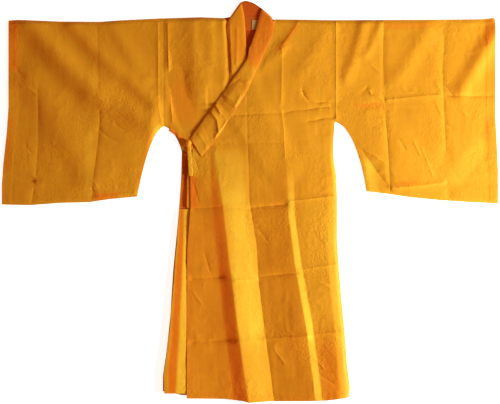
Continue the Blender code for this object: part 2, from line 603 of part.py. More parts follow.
def add_right_front():
    outline = joined(
        shifted(SHOULDER_RIGHT_BODY, dx=SEAM_GAP)[:1], SHOULDER_RIGHT_BODY[1:], UNDERLAP_NECK[1:],
        UNDERLAP_HIDDEN_EDGE[1:], UNDERLAP_SIDE,
        cubic(RIGHT_ARMPIT_CURVE)[-2:0:-1], shifted(RIGHT_ARMPIT_CURVE[:1], dx=SEAM_GAP),
    )
    armhole = [row["line"] for row in CREASES if RIGHT_SEAM_X < row["line"][0][0] < UNDERLAP_SIDE_X]
    right_lines, left_lines = pleat_lines()
    lines = right_lines + [CENTRE_SEAM] + left_lines + armhole
    cloth_panel("right_front", outline, underlap_height, material("gold cloth", GOLD), lines)


def add_left_front():
    outline = joined(
        LEFT_FRONT_NECK[::-1], SHOULDER_LEFT_BODY[1:-1], shifted(SHOULDER_LEFT_BODY, dx=-SEAM_GAP)[-1:],
        shifted(LEFT_SIDE[:1], dx=-SEAM_GAP), LEFT_SIDE[1:], LEFT_FRONT_HEM[::-1], CENTRE_SEAM[::-1],
    )
    creases = [row["line"] for row in CREASES if row["line"][-1][0] > 0]
    lines = pleat_lines()[1] + creases
    cloth_panel("left_front", outline, left_front_height, material("gold cloth", GOLD), lines)


def add_overlap():
    outline = joined(
        shifted(CENTRE_SEAM, dx=-SEAM_GAP)[1:], OVERLAP_HEM[-2::-1], OVERLAP_EDGE[::-1],
        OVERLAP_DIAGONAL[::-1][:-1],
        ((CENTRE_SEAM[0][0] - SEAM_GAP, CENTRE_SEAM[0][1] - SEAM_GAP * 2),),
    )
    creases = [row["line"] for row in CREASES if row["line"][0][0] < 0 < row["line"][-1][0]]
    lines = pleat_lines()[0] + creases
    cloth_panel("overlap", outline, left_front_height, material("gold cloth", GOLD), lines)


def add_sleeves():
    right_outline = joined(
        SHOULDER_RIGHT, cubic(RIGHT_SLEEVE_CURVE)[::-1], RIGHT_SLEEVE_LOWER[::-1], RIGHT_CUFF[::-1],
    )
    left_outline = joined(
        SHOULDER_LEFT, LEFT_CUFF, LEFT_SLEEVE_LOWER, cubic(LEFT_SLEEVE_CURVE),
    )
    right_ends = (RIGHT_CUFF, ((RIGHT_SEAM_X, 66.4), (RIGHT_SEAM_X, 27.3)))
    left_ends = (LEFT_CUFF, ((LEFT_SEAM_X, 65.7), (LEFT_SEAM_X, 28.9)))
    right_lines = [row["line"] for row in CREASES if min(x for x, _ in row["line"]) < RIGHT_SEAM_X]
    left_lines = [row["line"] for row in CREASES if row["line"][-1][0] > LEFT_SIDE[-1][0]]
    finish = material("gold cloth", GOLD)
    sleeve("right_sleeve", right_outline, right_ends, sleeve_height(RIGHT_CLOSED), finish, right_lines)
    sleeve("left_sleeve", left_outline, left_ends, sleeve_height(LEFT_CLOSED), finish, left_lines)


def add_collar():
    loft("collar", [collar_section(row) for row in collar_rows()], material("collar cloth", COLLAR_GOLD))


def rectangle(sides):
    return ((sides["left"], sides["bottom"]), (sides["right"], sides["bottom"]),
            (sides["right"], sides["top"]), (sides["left"], sides["top"]))


def add_neck_pieces():
    facing_z = SEAM_Z
    label_z = facing_z + TRIM + LAYER_GAP
    facing_finish = material("facing cloth", DEEP_GOLD)
    label_finish = material("label tape", LABEL_CREAM)
    cloth_panel("back_neck_facing", rectangle(FACING), lambda x, y: facing_z, facing_finish, thickness=TRIM)
    cloth_panel("neck_label", rectangle(LABEL), lambda x, y: label_z, label_finish, thickness=TRIM)


def add_gusset():
    """The pleated strip between the back and the hidden side of the right front."""
    inner_x = UNDERLAP_SIDE_X - SEAM_GAP * 2
    sections = []
    for row in GUSSET:
        y, crest_top = row["y"], row["crest_top"]
        shape = (
            (row["edge"], row["edge_top"]),
            (row["fold"], crest_top * GUSSET_FOLD_SHARE),
            (row["crest"], crest_top),
            (x_on(OVERLAP_EDGE, y), crest_top * GUSSET_SHARE_AT_OVERLAP),
            (inner_x, GUSSET_INNER_RISE),
        )
        lower = [(x * CM, y * CM, (SEAM_Z + rise) * MM) for x, rise in shape]
        upper = [(x, at_y, z + CLOTH * MM) for x, at_y, z in lower]
        sections.append(lower + upper[::-1])
    loft("side_gusset", sections, material("gold cloth", GOLD))


def add_tie():
    finish = material("tie cloth", COLLAR_GOLD)
    tape_gap = CLOTH + LAYER_GAP

    def on_right_front(x, y):
        return underlap_height(x, y) + tape_gap

    def on_overlap(x, y):
        return SEAM_Z + OVERLAP_RISE + pleats(x, y) + tape_gap

    strip_along("side_tie", spaced(SIDE_TIE, TIE_MESH), TIE_WIDTH, on_right_front, TRIM, finish)
    strip_along("tie_end", spaced(TIE_END, TIE_MESH), TIE_WIDTH, on_overlap, TRIM, finish)
    shape = bmesh.new()
    bmesh.ops.create_uvsphere(shape, u_segments=KNOT_AROUND, v_segments=KNOT_UP, radius=1.0)
    for vertex in shape.verts:
        x, y, z = (value * radius * CM for value, radius in zip(vertex.co, KNOT_RADII))
        vertex.co = (x, y, z)
    mesh = bpy.data.meshes.new("tie_knot")
    shape.to_mesh(mesh)
    shape.free()
    mesh.shade_smooth()
    mesh.materials.append(finish)
    knot = bpy.data.objects.new("tie_knot", mesh)
    reach = KNOT_RADII[0]
    rest = max(on_right_front(KNOT_CENTRE[0] + step, KNOT_CENTRE[1]) for step in (-reach, 0.0, reach))
    knot.location = (KNOT_CENTRE[0] * CM, KNOT_CENTRE[1] * CM, rest * MM + KNOT_RADII[2] * CM)
    bpy.context.scene.collection.objects.link(knot)


def main():
    clear_scene()
    add_back()
    add_right_front()
    add_left_front()
    add_overlap()
    add_sleeves()
    add_collar()
    add_neck_pieces()
    add_gusset()
    add_tie()


main()
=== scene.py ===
"""Robe with wide square sleeves, laid flat and tied shut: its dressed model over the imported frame.

Metres, +Z up. The collar points to +Y and the wearer's left sleeve lies at +X. Tables give places in
centimetres and heights in millimetres. A line's left and right are those of someone who walks along
it in the order of its points.
"""

import math

import bmesh
import bpy
import numpy as np
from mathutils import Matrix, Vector
from mathutils.geometry import delaunay_2d_cdt


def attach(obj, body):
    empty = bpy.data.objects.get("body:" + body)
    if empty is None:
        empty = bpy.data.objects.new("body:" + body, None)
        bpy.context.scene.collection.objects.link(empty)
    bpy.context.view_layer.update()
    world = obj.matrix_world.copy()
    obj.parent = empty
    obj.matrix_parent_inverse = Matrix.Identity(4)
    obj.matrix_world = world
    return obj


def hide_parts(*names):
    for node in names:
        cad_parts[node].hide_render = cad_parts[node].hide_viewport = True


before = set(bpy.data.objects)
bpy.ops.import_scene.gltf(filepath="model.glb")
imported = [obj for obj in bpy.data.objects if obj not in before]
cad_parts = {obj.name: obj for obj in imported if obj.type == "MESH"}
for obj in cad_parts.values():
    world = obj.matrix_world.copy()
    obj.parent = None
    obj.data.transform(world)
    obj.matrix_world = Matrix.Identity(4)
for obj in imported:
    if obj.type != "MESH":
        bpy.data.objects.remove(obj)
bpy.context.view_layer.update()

bl_info = {
    "name": "Laid-out Robe",
    "version": (1, 0, 0),
    "blender": (4, 5, 0),
    "location": "View3D > Sidebar > Robe",
    "description": "Builds a cross-collared robe with wide sleeves, laid flat on a pale floor",
    "category": "Object",
}

CM = 0.01
MM = 0.001
BODY = "root"

# Outlines of the cut pieces as they lie, in centimetres
RIGHT_SEAM_X = -31.2
LEFT_SEAM_X = 30.8
UNDERLAP_SIDE_X = -21.4
CUFF_X = 90.0
SEAM_GAP = 0.03
EDGE_ROLL = 1.2
CURVE_STEPS = 14
FOLD_STEP = 0.3
FOLD_ROWS = (0.16, 0.4)

SHOULDER_RIGHT = ((-87.5, 65.6), (-83.5, 65.8), (-69.0, 65.2), (-54.4, 65.1), (-47.5, 65.6), (RIGHT_SEAM_X, 66.4))
SHOULDER_RIGHT_BODY = ((RIGHT_SEAM_X, 66.4), (-18.1, 66.8), (-9.8, 66.5))
SHOULDER_LEFT_BODY = ((9.4, 66.0), (20.0, 65.9), (LEFT_SEAM_X, 65.7))
SHOULDER_LEFT = ((LEFT_SEAM_X, 65.7), (60.0, 65.8), (84.0, 66.0), (88.7, 66.5), (89.0, 65.5))
RIGHT_CUFF = ((-87.6, 65.5), (-87.6, 33.9), (-88.2, 25.2), (-89.5, 13.6), (-CUFF_X, 5.6), (-CUFF_X, -1.1))
LEFT_CUFF = ((89.0, 65.5), (89.0, 31.0), (89.6, 19.4), (CUFF_X, 10.7), (CUFF_X, -0.7))
RIGHT_SLEEVE_LOWER = ((-CUFF_X, -1.1), (-79.8, -1.3), (-69.0, -0.5), (-58.1, -0.2), (-50.8, 0.9), (-41.0, 1.8))
LEFT_SLEEVE_LOWER = ((CUFF_X, -0.7), (79.8, -0.2), (69.0, 0.5), (58.1, 1.6), (50.8, 2.7), (42.3, 3.7))
RIGHT_SLEEVE_CURVE = ((-41.0, 1.8), (-39.2, 10.7), (-35.9, 25.9), (RIGHT_SEAM_X, 27.3))
LEFT_SLEEVE_CURVE = ((42.3, 3.7), (41.0, 13.2), (37.0, 28.1), (LEFT_SEAM_X, 28.9))
RIGHT_ARMPIT_CURVE = ((RIGHT_SEAM_X, 27.3), (-28.3, 26.7), (-25.8, 22.3), (-24.7, 18.0))
RIGHT_SIDE = ((-24.7, 18.0), (-25.0, 7.8), (-25.9, -4.9), (-27.9, -25.6), (-28.9, -41.6), (-30.3, -54.6),
              (-31.6, -63.3), (-31.6, -68.8))
LEFT_SIDE = ((LEFT_SEAM_X, 28.9), (30.2, 21.6), (30.3, 16.1), (31.3, 9.3), (31.6, 2.0), (31.6, -14.0),
             (32.3, -24.9), (33.2, -35.7), (34.3, -46.6), (35.2, -59.0), (36.3, -67.7), (35.9, -70.9))
CENTRE_SEAM = ((-1.2, 47.0), (-1.1, 29.6), (-0.7, 18.0), (0.0, -1.3), (2.5, -15.8), (3.1, -28.5),
               (5.1, -44.8), (7.6, -63.0), (8.7, -72.4))
LEFT_FRONT_NECK = ((9.4, 66.0), (6.2, 63.7), (4.7, 59.3), (2.5, 55.0), (0.4, 50.6), (-1.2, 47.0))
OVERLAP_DIAGONAL = ((-1.2, 47.0), (-3.6, 43.0), (-8.0, 36.5), (-13.1, 28.8), (-18.5, 20.9), (-20.7, 18.5))
OVERLAP_EDGE = ((-20.7, 18.5), (-21.6, 9.3), (-21.5, -2.0), (-22.7, -17.6), (-22.9, -71.4))
OVERLAP_HEM = ((-22.9, -71.4), (-9.1, -71.5), (-2.5, -72.2), (-0.4, -72.8), (4.4, -72.5), (8.7, -72.4))
LEFT_FRONT_HEM = ((8.7, -72.4), (14.5, -72.3), (27.6, -72.0), (35.9, -70.9))
UNDERLAP_NECK = ((-9.8, 66.5), (-5.1, 63.0), (-4.5, 51.3), (-3.6, 41.5), (-0.5, 31.9), (4.4, 23.0),
                 (11.1, 13.2), (19.2, 3.3))
UNDERLAP_SIDE = ((UNDERLAP_SIDE_X, -70.4), (UNDERLAP_SIDE_X, -2.6), (-22.9, -2.2), (-22.8, 8.0), (-22.4, 13.0),
                 (-21.6, 17.0))
UNDERLAP_HIDDEN_EDGE = ((19.2, 3.3), (20.3, -10.3), (22.5, -70.6))
BACK_NECK = ((-9.4, 66.5), (-7.2, 66.93), (6.8, 66.97), (8.6, 65.9))
BACK_HEM = ((-31.6, -68.8), (-25.0, -70.2), (0.0, -71.0), (34.9, -70.2))

# Layers, in millimetres
CLOTH = 1.2
COLLAR = 1.8
TRIM = 1.0
LAYER_GAP = 0.3
SEAM_Z = CLOTH + LAYER_GAP
SLEEVE_RISE = 2.6
UNDERLAP_RISE = 2.2
OVERLAP_RISE = 4.0
OVERLAP_RISE_AT_SIDE = 2.6
HIDDEN_COLLAR_RISE = 2.6
HIDDEN_COLLAR_HALF_WIDTH = 4.4
HIDDEN_COLLAR_FADE = 5.0
UNDERLAP_PLEAT_SHARE = 0.8
LEAST_LIFT = 0.15
HEM_DEPTH = 2.4
CUFF_HEM_DEPTH = 3.1
HEM_STEP = 0.5

# The pleats of the skirt, a row for each height: where the two ridges and the feet of their
# shaded flanks run, and how high the ridges, the centre seam and the free edge stand
PLEATS = (
    {"y": 24.0, "ridge_1": -12.8, "ridge_2": 12.3, "flank": 4.0, "top": 0.0, "seam": 0.0, "edge": 1.0},
    {"y": 16.0, "ridge_1": -12.2, "ridge_2": 12.8, "flank": 5.0, "top": 3.0, "seam": 0.3, "edge": 0.4},
    {"y": 8.0, "ridge_1": -11.2, "ridge_2": 13.4, "flank": 6.3, "top": 6.0, "seam": 0.5, "edge": 0.4},
    {"y": -4.9, "ridge_1": -9.4, "ridge_2": 13.8, "flank": 7.6, "top": 10.0, "seam": 0.8, "edge": 2.0},
    {"y": -22.0, "ridge_1": -7.5, "ridge_2": 16.0, "flank": 8.6, "top": 12.5, "seam": 1.0, "edge": 1.8},
    {"y": -44.8, "ridge_1": -4.6, "ridge_2": 20.1, "flank": 9.5, "top": 15.0, "seam": 1.5, "edge": 2.0},
    {"y": -72.8, "ridge_1": -0.6, "ridge_2": 23.8, "flank": 10.0, "top": 17.0, "seam": 2.5, "edge": 2.4},
)
FLANK_FOOT_SHARE = 0.3
FLANK_STEEP_FROM = 0.5
FLANK_RISE_THERE = 0.24
SECOND_FLANK_WIDTH_SHARE = 0.7
SECOND_FLANK_RISE = 0.5
CREST_WIDTH = 2.6
CREST_FOOT_SHARE = 0.74
SIDE_ROLL_FROM = 3.6
SIDE_ROLL_TOP_SHARE = 1.12
SIDE_ROLL_FOOT_SHARE = 0.7
PLEAT_ROUNDING = 0.4
# Strengths of the painted shade and the painted light on the pleats
PLEAT_PAINTED_SHADE = 0.7
PLEAT_PAINTED_LIGHT = 1.2

# Pressed creases left by folding the robe away, then its sharp little crumples: how far each rises
# (or sinks) and how wide it is on each side
CREASES = (
    {"rise": -1.3, "left": 1.7, "right": 0.9, "line": ((-77.2, 40.3), (-76.8, 33.0), (-77.0, 20.0), (-77.9, 8.5),
                                                       (-79.3, -0.9))},
    {"rise": -0.6, "left": 0.5, "right": 1.0, "line": ((-55.2, 63.3), (-55.1, 52.0), (-54.8, 40.0))},
    {"rise": -1.8, "left": 0.8, "right": 2.6, "line": ((-54.5, 33.0), (-54.5, 28.0), (-55.2, 21.0), (-56.6, 10.0),
                                                       (-57.4, 0.6))},
    {"rise": -2.6, "left": 0.5, "right": 1.5, "line": ((-79.0, 7.3), (-84.5, 8.6), (-89.7, 9.3))},
    {"rise": 4.2, "left": 0.8, "right": 1.2, "line": ((-57.9, 4.6), (-66.0, 5.7), (-77.4, 7.3))},
    {"rise": 2.2, "left": 0.8, "right": 0.8, "line": ((-41.8, 2.6), (-49.0, 3.0), (-56.8, 4.2))},
    {"rise": -0.9, "left": 0.5, "right": 0.9, "line": ((-78.4, 38.5), (-87.2, 39.0))},
    {"rise": 1.5, "left": 0.45, "right": 0.8, "line": ((-33.3, 64.6), (-33.3, 45.0), (-33.1, 34.0), (-32.0, 28.2))},
    {"rise": 1.8, "left": 0.6, "right": 0.5, "line": ((-29.9, 64.6), (-29.6, 50.0), (-28.9, 40.0), (-28.2, 28.7))},
    {"rise": -1.2, "left": 0.4, "right": 0.6, "line": ((-12.7, 35.3), (-17.0, 35.5), (-22.0, 36.3), (-27.0, 36.0))},
    {"rise": 1.4, "left": 0.5, "right": 0.9, "line": ((11.6, 55.5), (11.5, 45.0), (11.3, 35.5))},
    {"rise": 1.3, "left": 0.5, "right": 0.8, "line": ((11.3, 33.0), (12.2, 26.0), (12.7, 16.0))},
    {"rise": 2.6, "left": 2.6, "right": 0.9, "line": ((17.6, 65.2), (15.3, 61.5), (12.0, 57.0))},
    {"rise": 1.8, "left": 0.5, "right": 0.6, "line": ((31.2, 64.8), (31.2, 47.0), (31.2, 30.2))},
    {"rise": -2.2, "left": 0.45, "right": 0.9, "line": ((30.2, 34.4), (25.0, 34.0), (20.0, 33.2), (15.8, 33.0),
                                                        (12.2, 31.9))},
    {"rise": -2.4, "left": 0.4, "right": 0.8, "line": ((30.2, 35.2), (27.5, 36.1), (24.5, 35.7), (21.3, 36.3),
                                                       (19.6, 38.2), (18.8, 40.2))},
    {"rise": -2.0, "left": 0.4, "right": 0.8, "line": ((30.2, 30.4), (26.5, 30.1), (23.5, 29.3), (21.0, 29.2))},
    {"rise": -1.7, "left": 0.4, "right": 0.7, "line": ((10.5, 32.0), (4.0, 31.7), (-6.8, 31.2))},
    {"rise": -0.9, "left": 0.5, "right": 0.6, "line": ((11.6, 21.2), (-13.4, 20.9))},
    {"rise": -1.9, "left": 1.0, "right": 0.8, "line": ((48.4, 65.0), (48.2, 50.0), (48.5, 40.0), (49.2, 30.0),
                                                       (50.0, 20.0), (50.9, 3.4))},
    {"rise": -2.3, "left": 1.3, "right": 1.2, "line": ((70.3, 64.5), (70.3, 55.0), (69.8, 48.0), (70.0, 40.0),
                                                       (70.6, 28.0), (71.2, 15.0), (72.2, 1.2))},
    {"rise": -2.2, "left": 0.5, "right": 0.8, "line": ((88.6, 38.3), (80.0, 38.1), (71.6, 38.5))},
    {"rise": 2.4, "left": 0.9, "right": 0.6, "line": ((68.8, 38.7), (60.0, 38.0), (49.6, 36.8))},
    {"rise": -3.6, "left": 1.3, "right": 0.5, "line": ((47.7, 35.5), (42.0, 35.0), (37.0, 34.5), (32.0, 34.5))},
    {"rise": -3.6, "left": 1.1, "right": 0.6, "line": ((89.6, 7.6), (80.0, 7.2), (72.6, 6.9))},
    {"rise": 4.0, "left": 0.9, "right": 1.7, "line": ((70.6, 6.9), (62.0, 5.8), (51.6, 4.8))},
    {"rise": -1.8, "left": 0.9, "right": 3.0, "line": ((40.9, 18.6), (44.5, 13.0), (49.4, 6.4))},
    {"rise": 2.4, "left": 0.5, "right": 0.6, "line": ((30.5, 2.0), (21.8, 0.9), (14.6, 0.1))},
    {"rise": -4.0, "left": 1.3, "right": 0.8, "line": ((12.7, -1.1), (6.0, -1.7), (0.6, -2.3))},
    {"rise": -1.6, "left": 0.6, "right": 0.7, "line": ((-0.2, -2.5), (-9.0, -2.5))},
    {"rise": -2.6, "left": 0.9, "right": 0.7, "line": ((-10.4, -2.0), (-20.2, -2.5))},
    {"rise": 2.6, "left": 0.6, "right": 0.8, "line": ((31.9, -22.6), (24.0, -23.8), (17.8, -24.8))},
    {"rise": -3.6, "left": 1.2, "right": 0.8, "line": ((16.9, -25.9), (10.0, -26.6), (3.0, -27.3))},
    {"rise": 2.8, "left": 0.8, "right": 0.6, "line": ((2.5, -28.1), (-5.4, -28.6))},
    {"rise": -3.4, "left": 0.8, "right": 0.7, "line": ((-10.0, -27.5), (-21.0, -27.9))},
    {"rise": 3.4, "left": 0.5, "right": 0.8, "line": ((34.5, -46.8), (28.0, -47.6), (21.4, -48.3))},
    {"rise": 4.4, "left": 0.7, "right": 0.9, "line": ((20.6, -48.7), (13.0, -49.2), (5.8, -49.8))},
    {"rise": 3.2, "left": 0.6, "right": 0.8, "line": ((5.2, -49.9), (-4.2, -50.5))},
    {"rise": -3.6, "left": 0.7, "right": 0.6, "line": ((-7.6, -50.4), (-21.2, -51.1))},
)
CRUMPLES = (
    {"rise": 1.2, "left": 0.4, "right": 0.4, "line": ((-82.0, 41.6), (-80.0, 41.0), (-77.3, 38.8))},
    {"rise": -1.0, "left": 0.4, "right": 0.5, "line": ((-81.4, 20.2), (-79.4, 17.6))},
    {"rise": 1.0, "left": 0.5, "right": 0.4, "line": ((-55.0, 37.6), (-52.8, 36.2), (-50.5, 36.2))},
    {"rise": -1.0, "left": 0.4, "right": 0.5, "line": ((-54.2, 25.6), (-51.6, 23.4), (-48.0, 21.6))},
    {"rise": -0.8, "left": 0.4, "right": 0.5, "line": ((-48.6, 28.0), (-46.0, 26.0), (-44.0, 25.6))},
    {"rise": 1.0, "left": 0.4, "right": 0.4, "line": ((-79.0, 9.6), (-77.6, 8.6))},
    {"rise": 1.0, "left": 0.5, "right": 0.6, "line": ((-57.0, 7.6), (-55.0, 4.6), (-51.0, 3.6))},
    {"rise": 1.2, "left": 0.5, "right": 0.7, "line": ((-21.3, 19.4), (-19.4, 18.2), (-17.4, 16.0))},
    {"rise": -1.0, "left": 0.6, "right": 0.6, "line": ((-20.8, 17.4), (-18.4, 11.0))},
    {"rise": 1.0, "left": 0.5, "right": 0.5, "line": ((-21.2, 9.4), (-19.6, 9.0), (-17.8, 7.6))},
    {"rise": -0.9, "left": 0.5, "right": 0.5, "line": ((-20.6, 6.6), (-18.6, 0.0))},
    {"rise": 1.0, "left": 0.5, "right": 0.5, "line": ((33.0, 52.6), (36.0, 52.0), (38.4, 50.4))},
    {"rise": 1.1, "left": 0.4, "right": 0.5, "line": ((41.2, 18.6), (44.5, 17.0), (48.6, 14.2))},
    {"rise": 1.8, "left": 0.4, "right": 0.5, "line": ((48.3, 36.4), (46.5, 37.8), (44.0, 38.5), (43.4, 40.2))},
    {"rise": 1.2, "left": 0.4, "right": 0.5, "line": ((55.2, 41.2), (57.0, 39.5), (59.4, 39.9))},
    {"rise": 1.3, "left": 0.5, "right": 0.5, "line": ((67.6, 42.6), (69.3, 39.9))},
    {"rise": -1.2, "left": 0.5, "right": 0.5, "line": ((71.0, 41.6), (73.2, 39.0))},
    {"rise": 1.2, "left": 0.5, "right": 0.5, "line": ((67.2, 36.2), (69.2, 31.6))},
    {"rise": -1.2, "left": 0.4, "right": 0.5, "line": ((71.2, 28.3), (73.2, 26.6))},
    {"rise": 1.0, "left": 0.4, "right": 0.4, "line": ((76.6, 33.0), (79.2, 30.4))},
    {"rise": -1.1, "left": 0.4, "right": 0.5, "line": ((50.6, 23.8), (54.0, 22.8), (56.4, 18.6))},
    {"rise": 1.0, "left": 0.4, "right": 0.5, "line": ((59.4, 22.0), (61.6, 16.8))},
    {"rise": 1.0, "left": 0.4, "right": 0.5, "line": ((62.4, 19.2), (66.4, 9.0))},
    {"rise": -1.0, "left": 0.4, "right": 0.5, "line": ((72.4, 10.8), (75.0, 8.8))},
    {"rise": -1.4, "left": 0.4, "right": 0.4, "line": ((40.0, 38.9), (42.6, 41.4))},
    {"rise": 1.0, "left": 0.4, "right": 0.4, "line": ((44.0, 49.4), (47.0, 46.6))},
    {"rise": 0.9, "left": 0.4, "right": 0.4, "line": ((25.4, -29.2), (29.0, -31.4))},
    {"rise": 0.9, "left": 0.4, "right": 0.4, "line": ((22.6, -56.0), (26.8, -60.4))},
    {"rise": -0.9, "left": 0.4, "right": 0.4, "line": ((24.2, -62.0), (30.4, -66.0))},
    {"rise": 0.9, "left": 0.4, "right": 0.4, "line": ((8.6, -53.4), (12.4, -58.6))},
    {"rise": -0.9, "left": 0.4, "right": 0.4, "line": ((3.4, -10.4), (6.4, -14.6))},
    {"rise": 0.9, "left": 0.4, "right": 0.5, "line": ((-17.0, -7.4), (-12.4, -8.6))},
    {"rise": -0.9, "left": 0.5, "right": 0.5, "line": ((-16.4, -18.6), (-14.6, -25.4))},
    {"rise": 0.8, "left": 0.4, "right": 0.4, "line": ((-20.6, -33.0), (-17.4, -37.4))},
)

# Soft folds: height, and the half width on each side
SOFT_FOLDS = (
    {"rise": 12.0, "left": 4.4, "right": 4.8, "line": ((-80.0, 64.5), (-70.0, 53.5), (-63.0, 46.0), (-57.0, 40.2),
                                                      (-50.0, 36.2), (-44.0, 33.2), (-36.6, 28.8))},
    {"rise": 6.6, "left": 3.4, "right": 3.0, "line": ((-64.5, 64.0), (-58.5, 57.0), (-52.0, 50.3), (-46.0, 45.6),
                                                      (-40.0, 40.6), (-34.8, 35.0))},
    {"rise": 3.0, "left": 3.0, "right": 2.6, "line": ((-50.0, 63.0), (-44.0, 54.0), (-38.0, 45.0))},
    {"rise": 6.6, "left": 6.0, "right": 4.6, "line": ((-80.0, 42.5), (-74.0, 34.0), (-68.0, 25.5), (-61.5, 16.0),
                                                      (-58.6, 9.0))},
    {"rise": 4.0, "left": 5.0, "right": 9.0, "line": ((-17.0, 66.0), (-16.0, 44.0))},
    {"rise": -8.0, "left": 4.8, "right": 1.8, "line": ((-28.2, 46.0), (-26.5, 36.0), (-22.8, 27.0))},
    {"rise": 2.0, "left": 4.0, "right": 5.0, "line": ((-18.0, 48.0), (-18.4, 40.0))},
    {"rise": 1.4, "left": 1.6, "right": 1.6, "line": ((-14.2, 65.0), (-14.0, 52.0))},
    {"rise": 1.2, "left": 1.6, "right": 2.0, "line": ((-20.6, 64.0), (-20.0, 50.0))},
    {"rise": 2.4, "left": 0.9, "right": 2.6, "line": ((-9.4, 64.5), (-9.1, 44.5))},
    {"rise": 2.6, "left": 2.8, "right": 1.8, "line": ((12.0, 57.0), (8.0, 52.5), (4.6, 49.6))},
    {"rise": 1.6, "left": 3.0, "right": 2.0, "line": ((29.0, 63.0), (22.0, 53.0), (17.5, 46.0))},
    {"rise": 4.2, "left": 2.4, "right": 1.9, "line": ((41.2, 65.6), (39.6, 58.0), (36.8, 50.0), (35.0, 45.0))},
    {"rise": 3.2, "left": 1.6, "right": 1.6, "line": ((47.4, 64.5), (44.6, 57.5), (42.0, 53.0))},
    {"rise": 4.2, "left": 3.0, "right": 3.2, "line": ((64.0, 61.0), (58.5, 52.0), (53.6, 45.0))},
    {"rise": 7.5, "left": 3.2, "right": 3.2, "line": ((89.6, 62.0), (85.5, 55.0), (81.5, 48.5), (77.2, 40.5))},
)

# Places of painted shade (above 0) or painted light (below 0) on the cloth, with the half
# width of each place on both sides of its line
PAINTED_SHADE_PLACES = (
    {"rise": 0.55, "left": 2.0, "right": 2.0, "line": ((-86.2, 65.0), (-86.0, 49.0))},
    {"rise": 0.4, "left": 1.1, "right": 1.1, "line": ((-87.4, 29.0), (-88.6, 12.0))},
    {"rise": 0.75, "left": 1.3, "right": 1.3, "line": ((-55.6, 1.6), (-49.0, 2.0))},
    {"rise": 0.3, "left": 1.6, "right": 1.6, "line": ((-39.6, 6.0), (-36.0, 24.0))},
    {"rise": 0.18, "left": 1.6, "right": 1.6, "line": ((-66.0, 64.6), (-60.0, 57.0), (-54.0, 50.6))},
    {"rise": 0.3, "left": 1.1, "right": 1.1, "line": ((38.6, 34.6), (47.0, 34.8))},
    {"rise": 0.45, "left": 1.6, "right": 2.2, "line": ((88.6, 64.0), (85.6, 57.6))},
    {"rise": 0.35, "left": 1.2, "right": 1.2, "line": ((49.4, 63.6), (66.0, 63.9))},
    {"rise": 0.35, "left": 0.8, "right": 0.8, "line": ((53.0, 6.0), (60.0, 6.9))},
    {"rise": 0.3, "left": 1.4, "right": 1.4, "line": ((86.4, 30.0), (86.0, 16.0))},
    {"rise": 0.5, "left": 1.1, "right": 1.1, "line": ((16.6, 63.4), (13.6, 59.0), (10.6, 55.4))},
    {"rise": -0.5, "left": 1.4, "right": 1.4, "line": ((-11.8, 17.0), (-10.4, 5.0), (-9.4, 0.0))},
    {"rise": -0.6, "left": 4.0, "right": 4.0, "line": ((-6.4, 15.0), (-5.0, 3.0))},
    {"rise": -0.25, "left": 6.0, "right": 6.0, "line": ((24.0, -4.0), (26.0, -40.0))},
    {"rise": 0.3, "left": 5.0, "right": 5.0, "line": ((30.0, -56.0), (31.0, -68.0))},
    {"rise": -0.9, "left": 2.6, "right": 3.0, "line": ((42.4, 13.0), (44.4, 5.0))},
    {"rise": 0.22, "left": 4.5, "right": 4.5, "line": ((-25.6, 40.0), (-24.4, 32.0))},
    {"rise": 0.85, "left": 1.3, "right": 1.3, "line": ((-20.8, 8.0), (-20.6, -1.5))},
    {"rise": 0.35, "left": 0.9, "right": 0.9, "line": ((-22.0, -5.0), (-22.4, -66.0))},
    {"rise": -0.5, "left": 1.3, "right": 1.3, "line": ((-20.2, 17.0), (-19.8, 11.0))},
    {"rise": -0.35, "left": 1.4, "right": 1.4, "line": ((-58.0, 24.0), (-58.6, 3.0))},
    {"rise": -0.4, "left": 3.0, "right": 3.0, "line": ((75.0, 9.0), (84.0, 20.0))},
)

# Random unevenness: the length of its bumps across and along the robe, and its height
RIPPLES = (
    {"across": 17.0, "along": 24.0, "height": 2.0, "seed": 5},
    {"across": 9.0, "along": 13.0, "height": 1.2, "seed": 3},
    {"across": 4.2, "along": 6.5, "height": 0.5, "seed": 11},
    {"across": 1.3, "along": 9.0, "height": 0.13, "seed": 17},
    {"across": 6.5, "along": 1.5, "height": 0.12, "seed": 23},
)
WRINKLES = (
    {"across": 2.6, "along": 3.4, "height": 0.8, "seed": 31, "patch": 9.0},
    {"across": 4.4, "along": 2.4, "height": 0.9, "seed": 37, "patch": 7.0},
)

# The pleated gusset under the tied side, a row for each height: places of its turned edge,
# the fold beside it and the crest, and how high the edge and the crest stand
GUSSET = (
    {"y": -2.8, "edge": -25.6, "fold": -25.1, "crest": -24.2, "edge_top": 4.8, "crest_top": 4.2},
    {"y": -14.0, "edge": -26.4, "fold": -25.6, "crest": -24.3, "edge_top": 6.8, "crest_top": 6.0},
    {"y": -32.1, "edge": -28.0, "fold": -27.0, "crest": -25.0, "edge_top": 8.2, "crest_top": 7.2},
    {"y": -46.6, "edge": -29.1, "fold": -28.0, "crest": -25.8, "edge_top": 8.8, "crest_top": 7.7},
    {"y": -63.0, "edge": -31.3, "fold": -29.4, "crest": -26.8, "edge_top": 9.8, "crest_top": 8.6},
    {"y": -69.6, "edge": -31.0, "fold": -29.2, "crest": -27.0, "edge_top": 9.8, "crest_top": 8.6},
)
FOLD_TOP_SHARE = 1.07
PLEAT_LEFT_AT_EDGE = 0.52
SIDE_PLEAT_NICKS = (-27.9, -51.4)

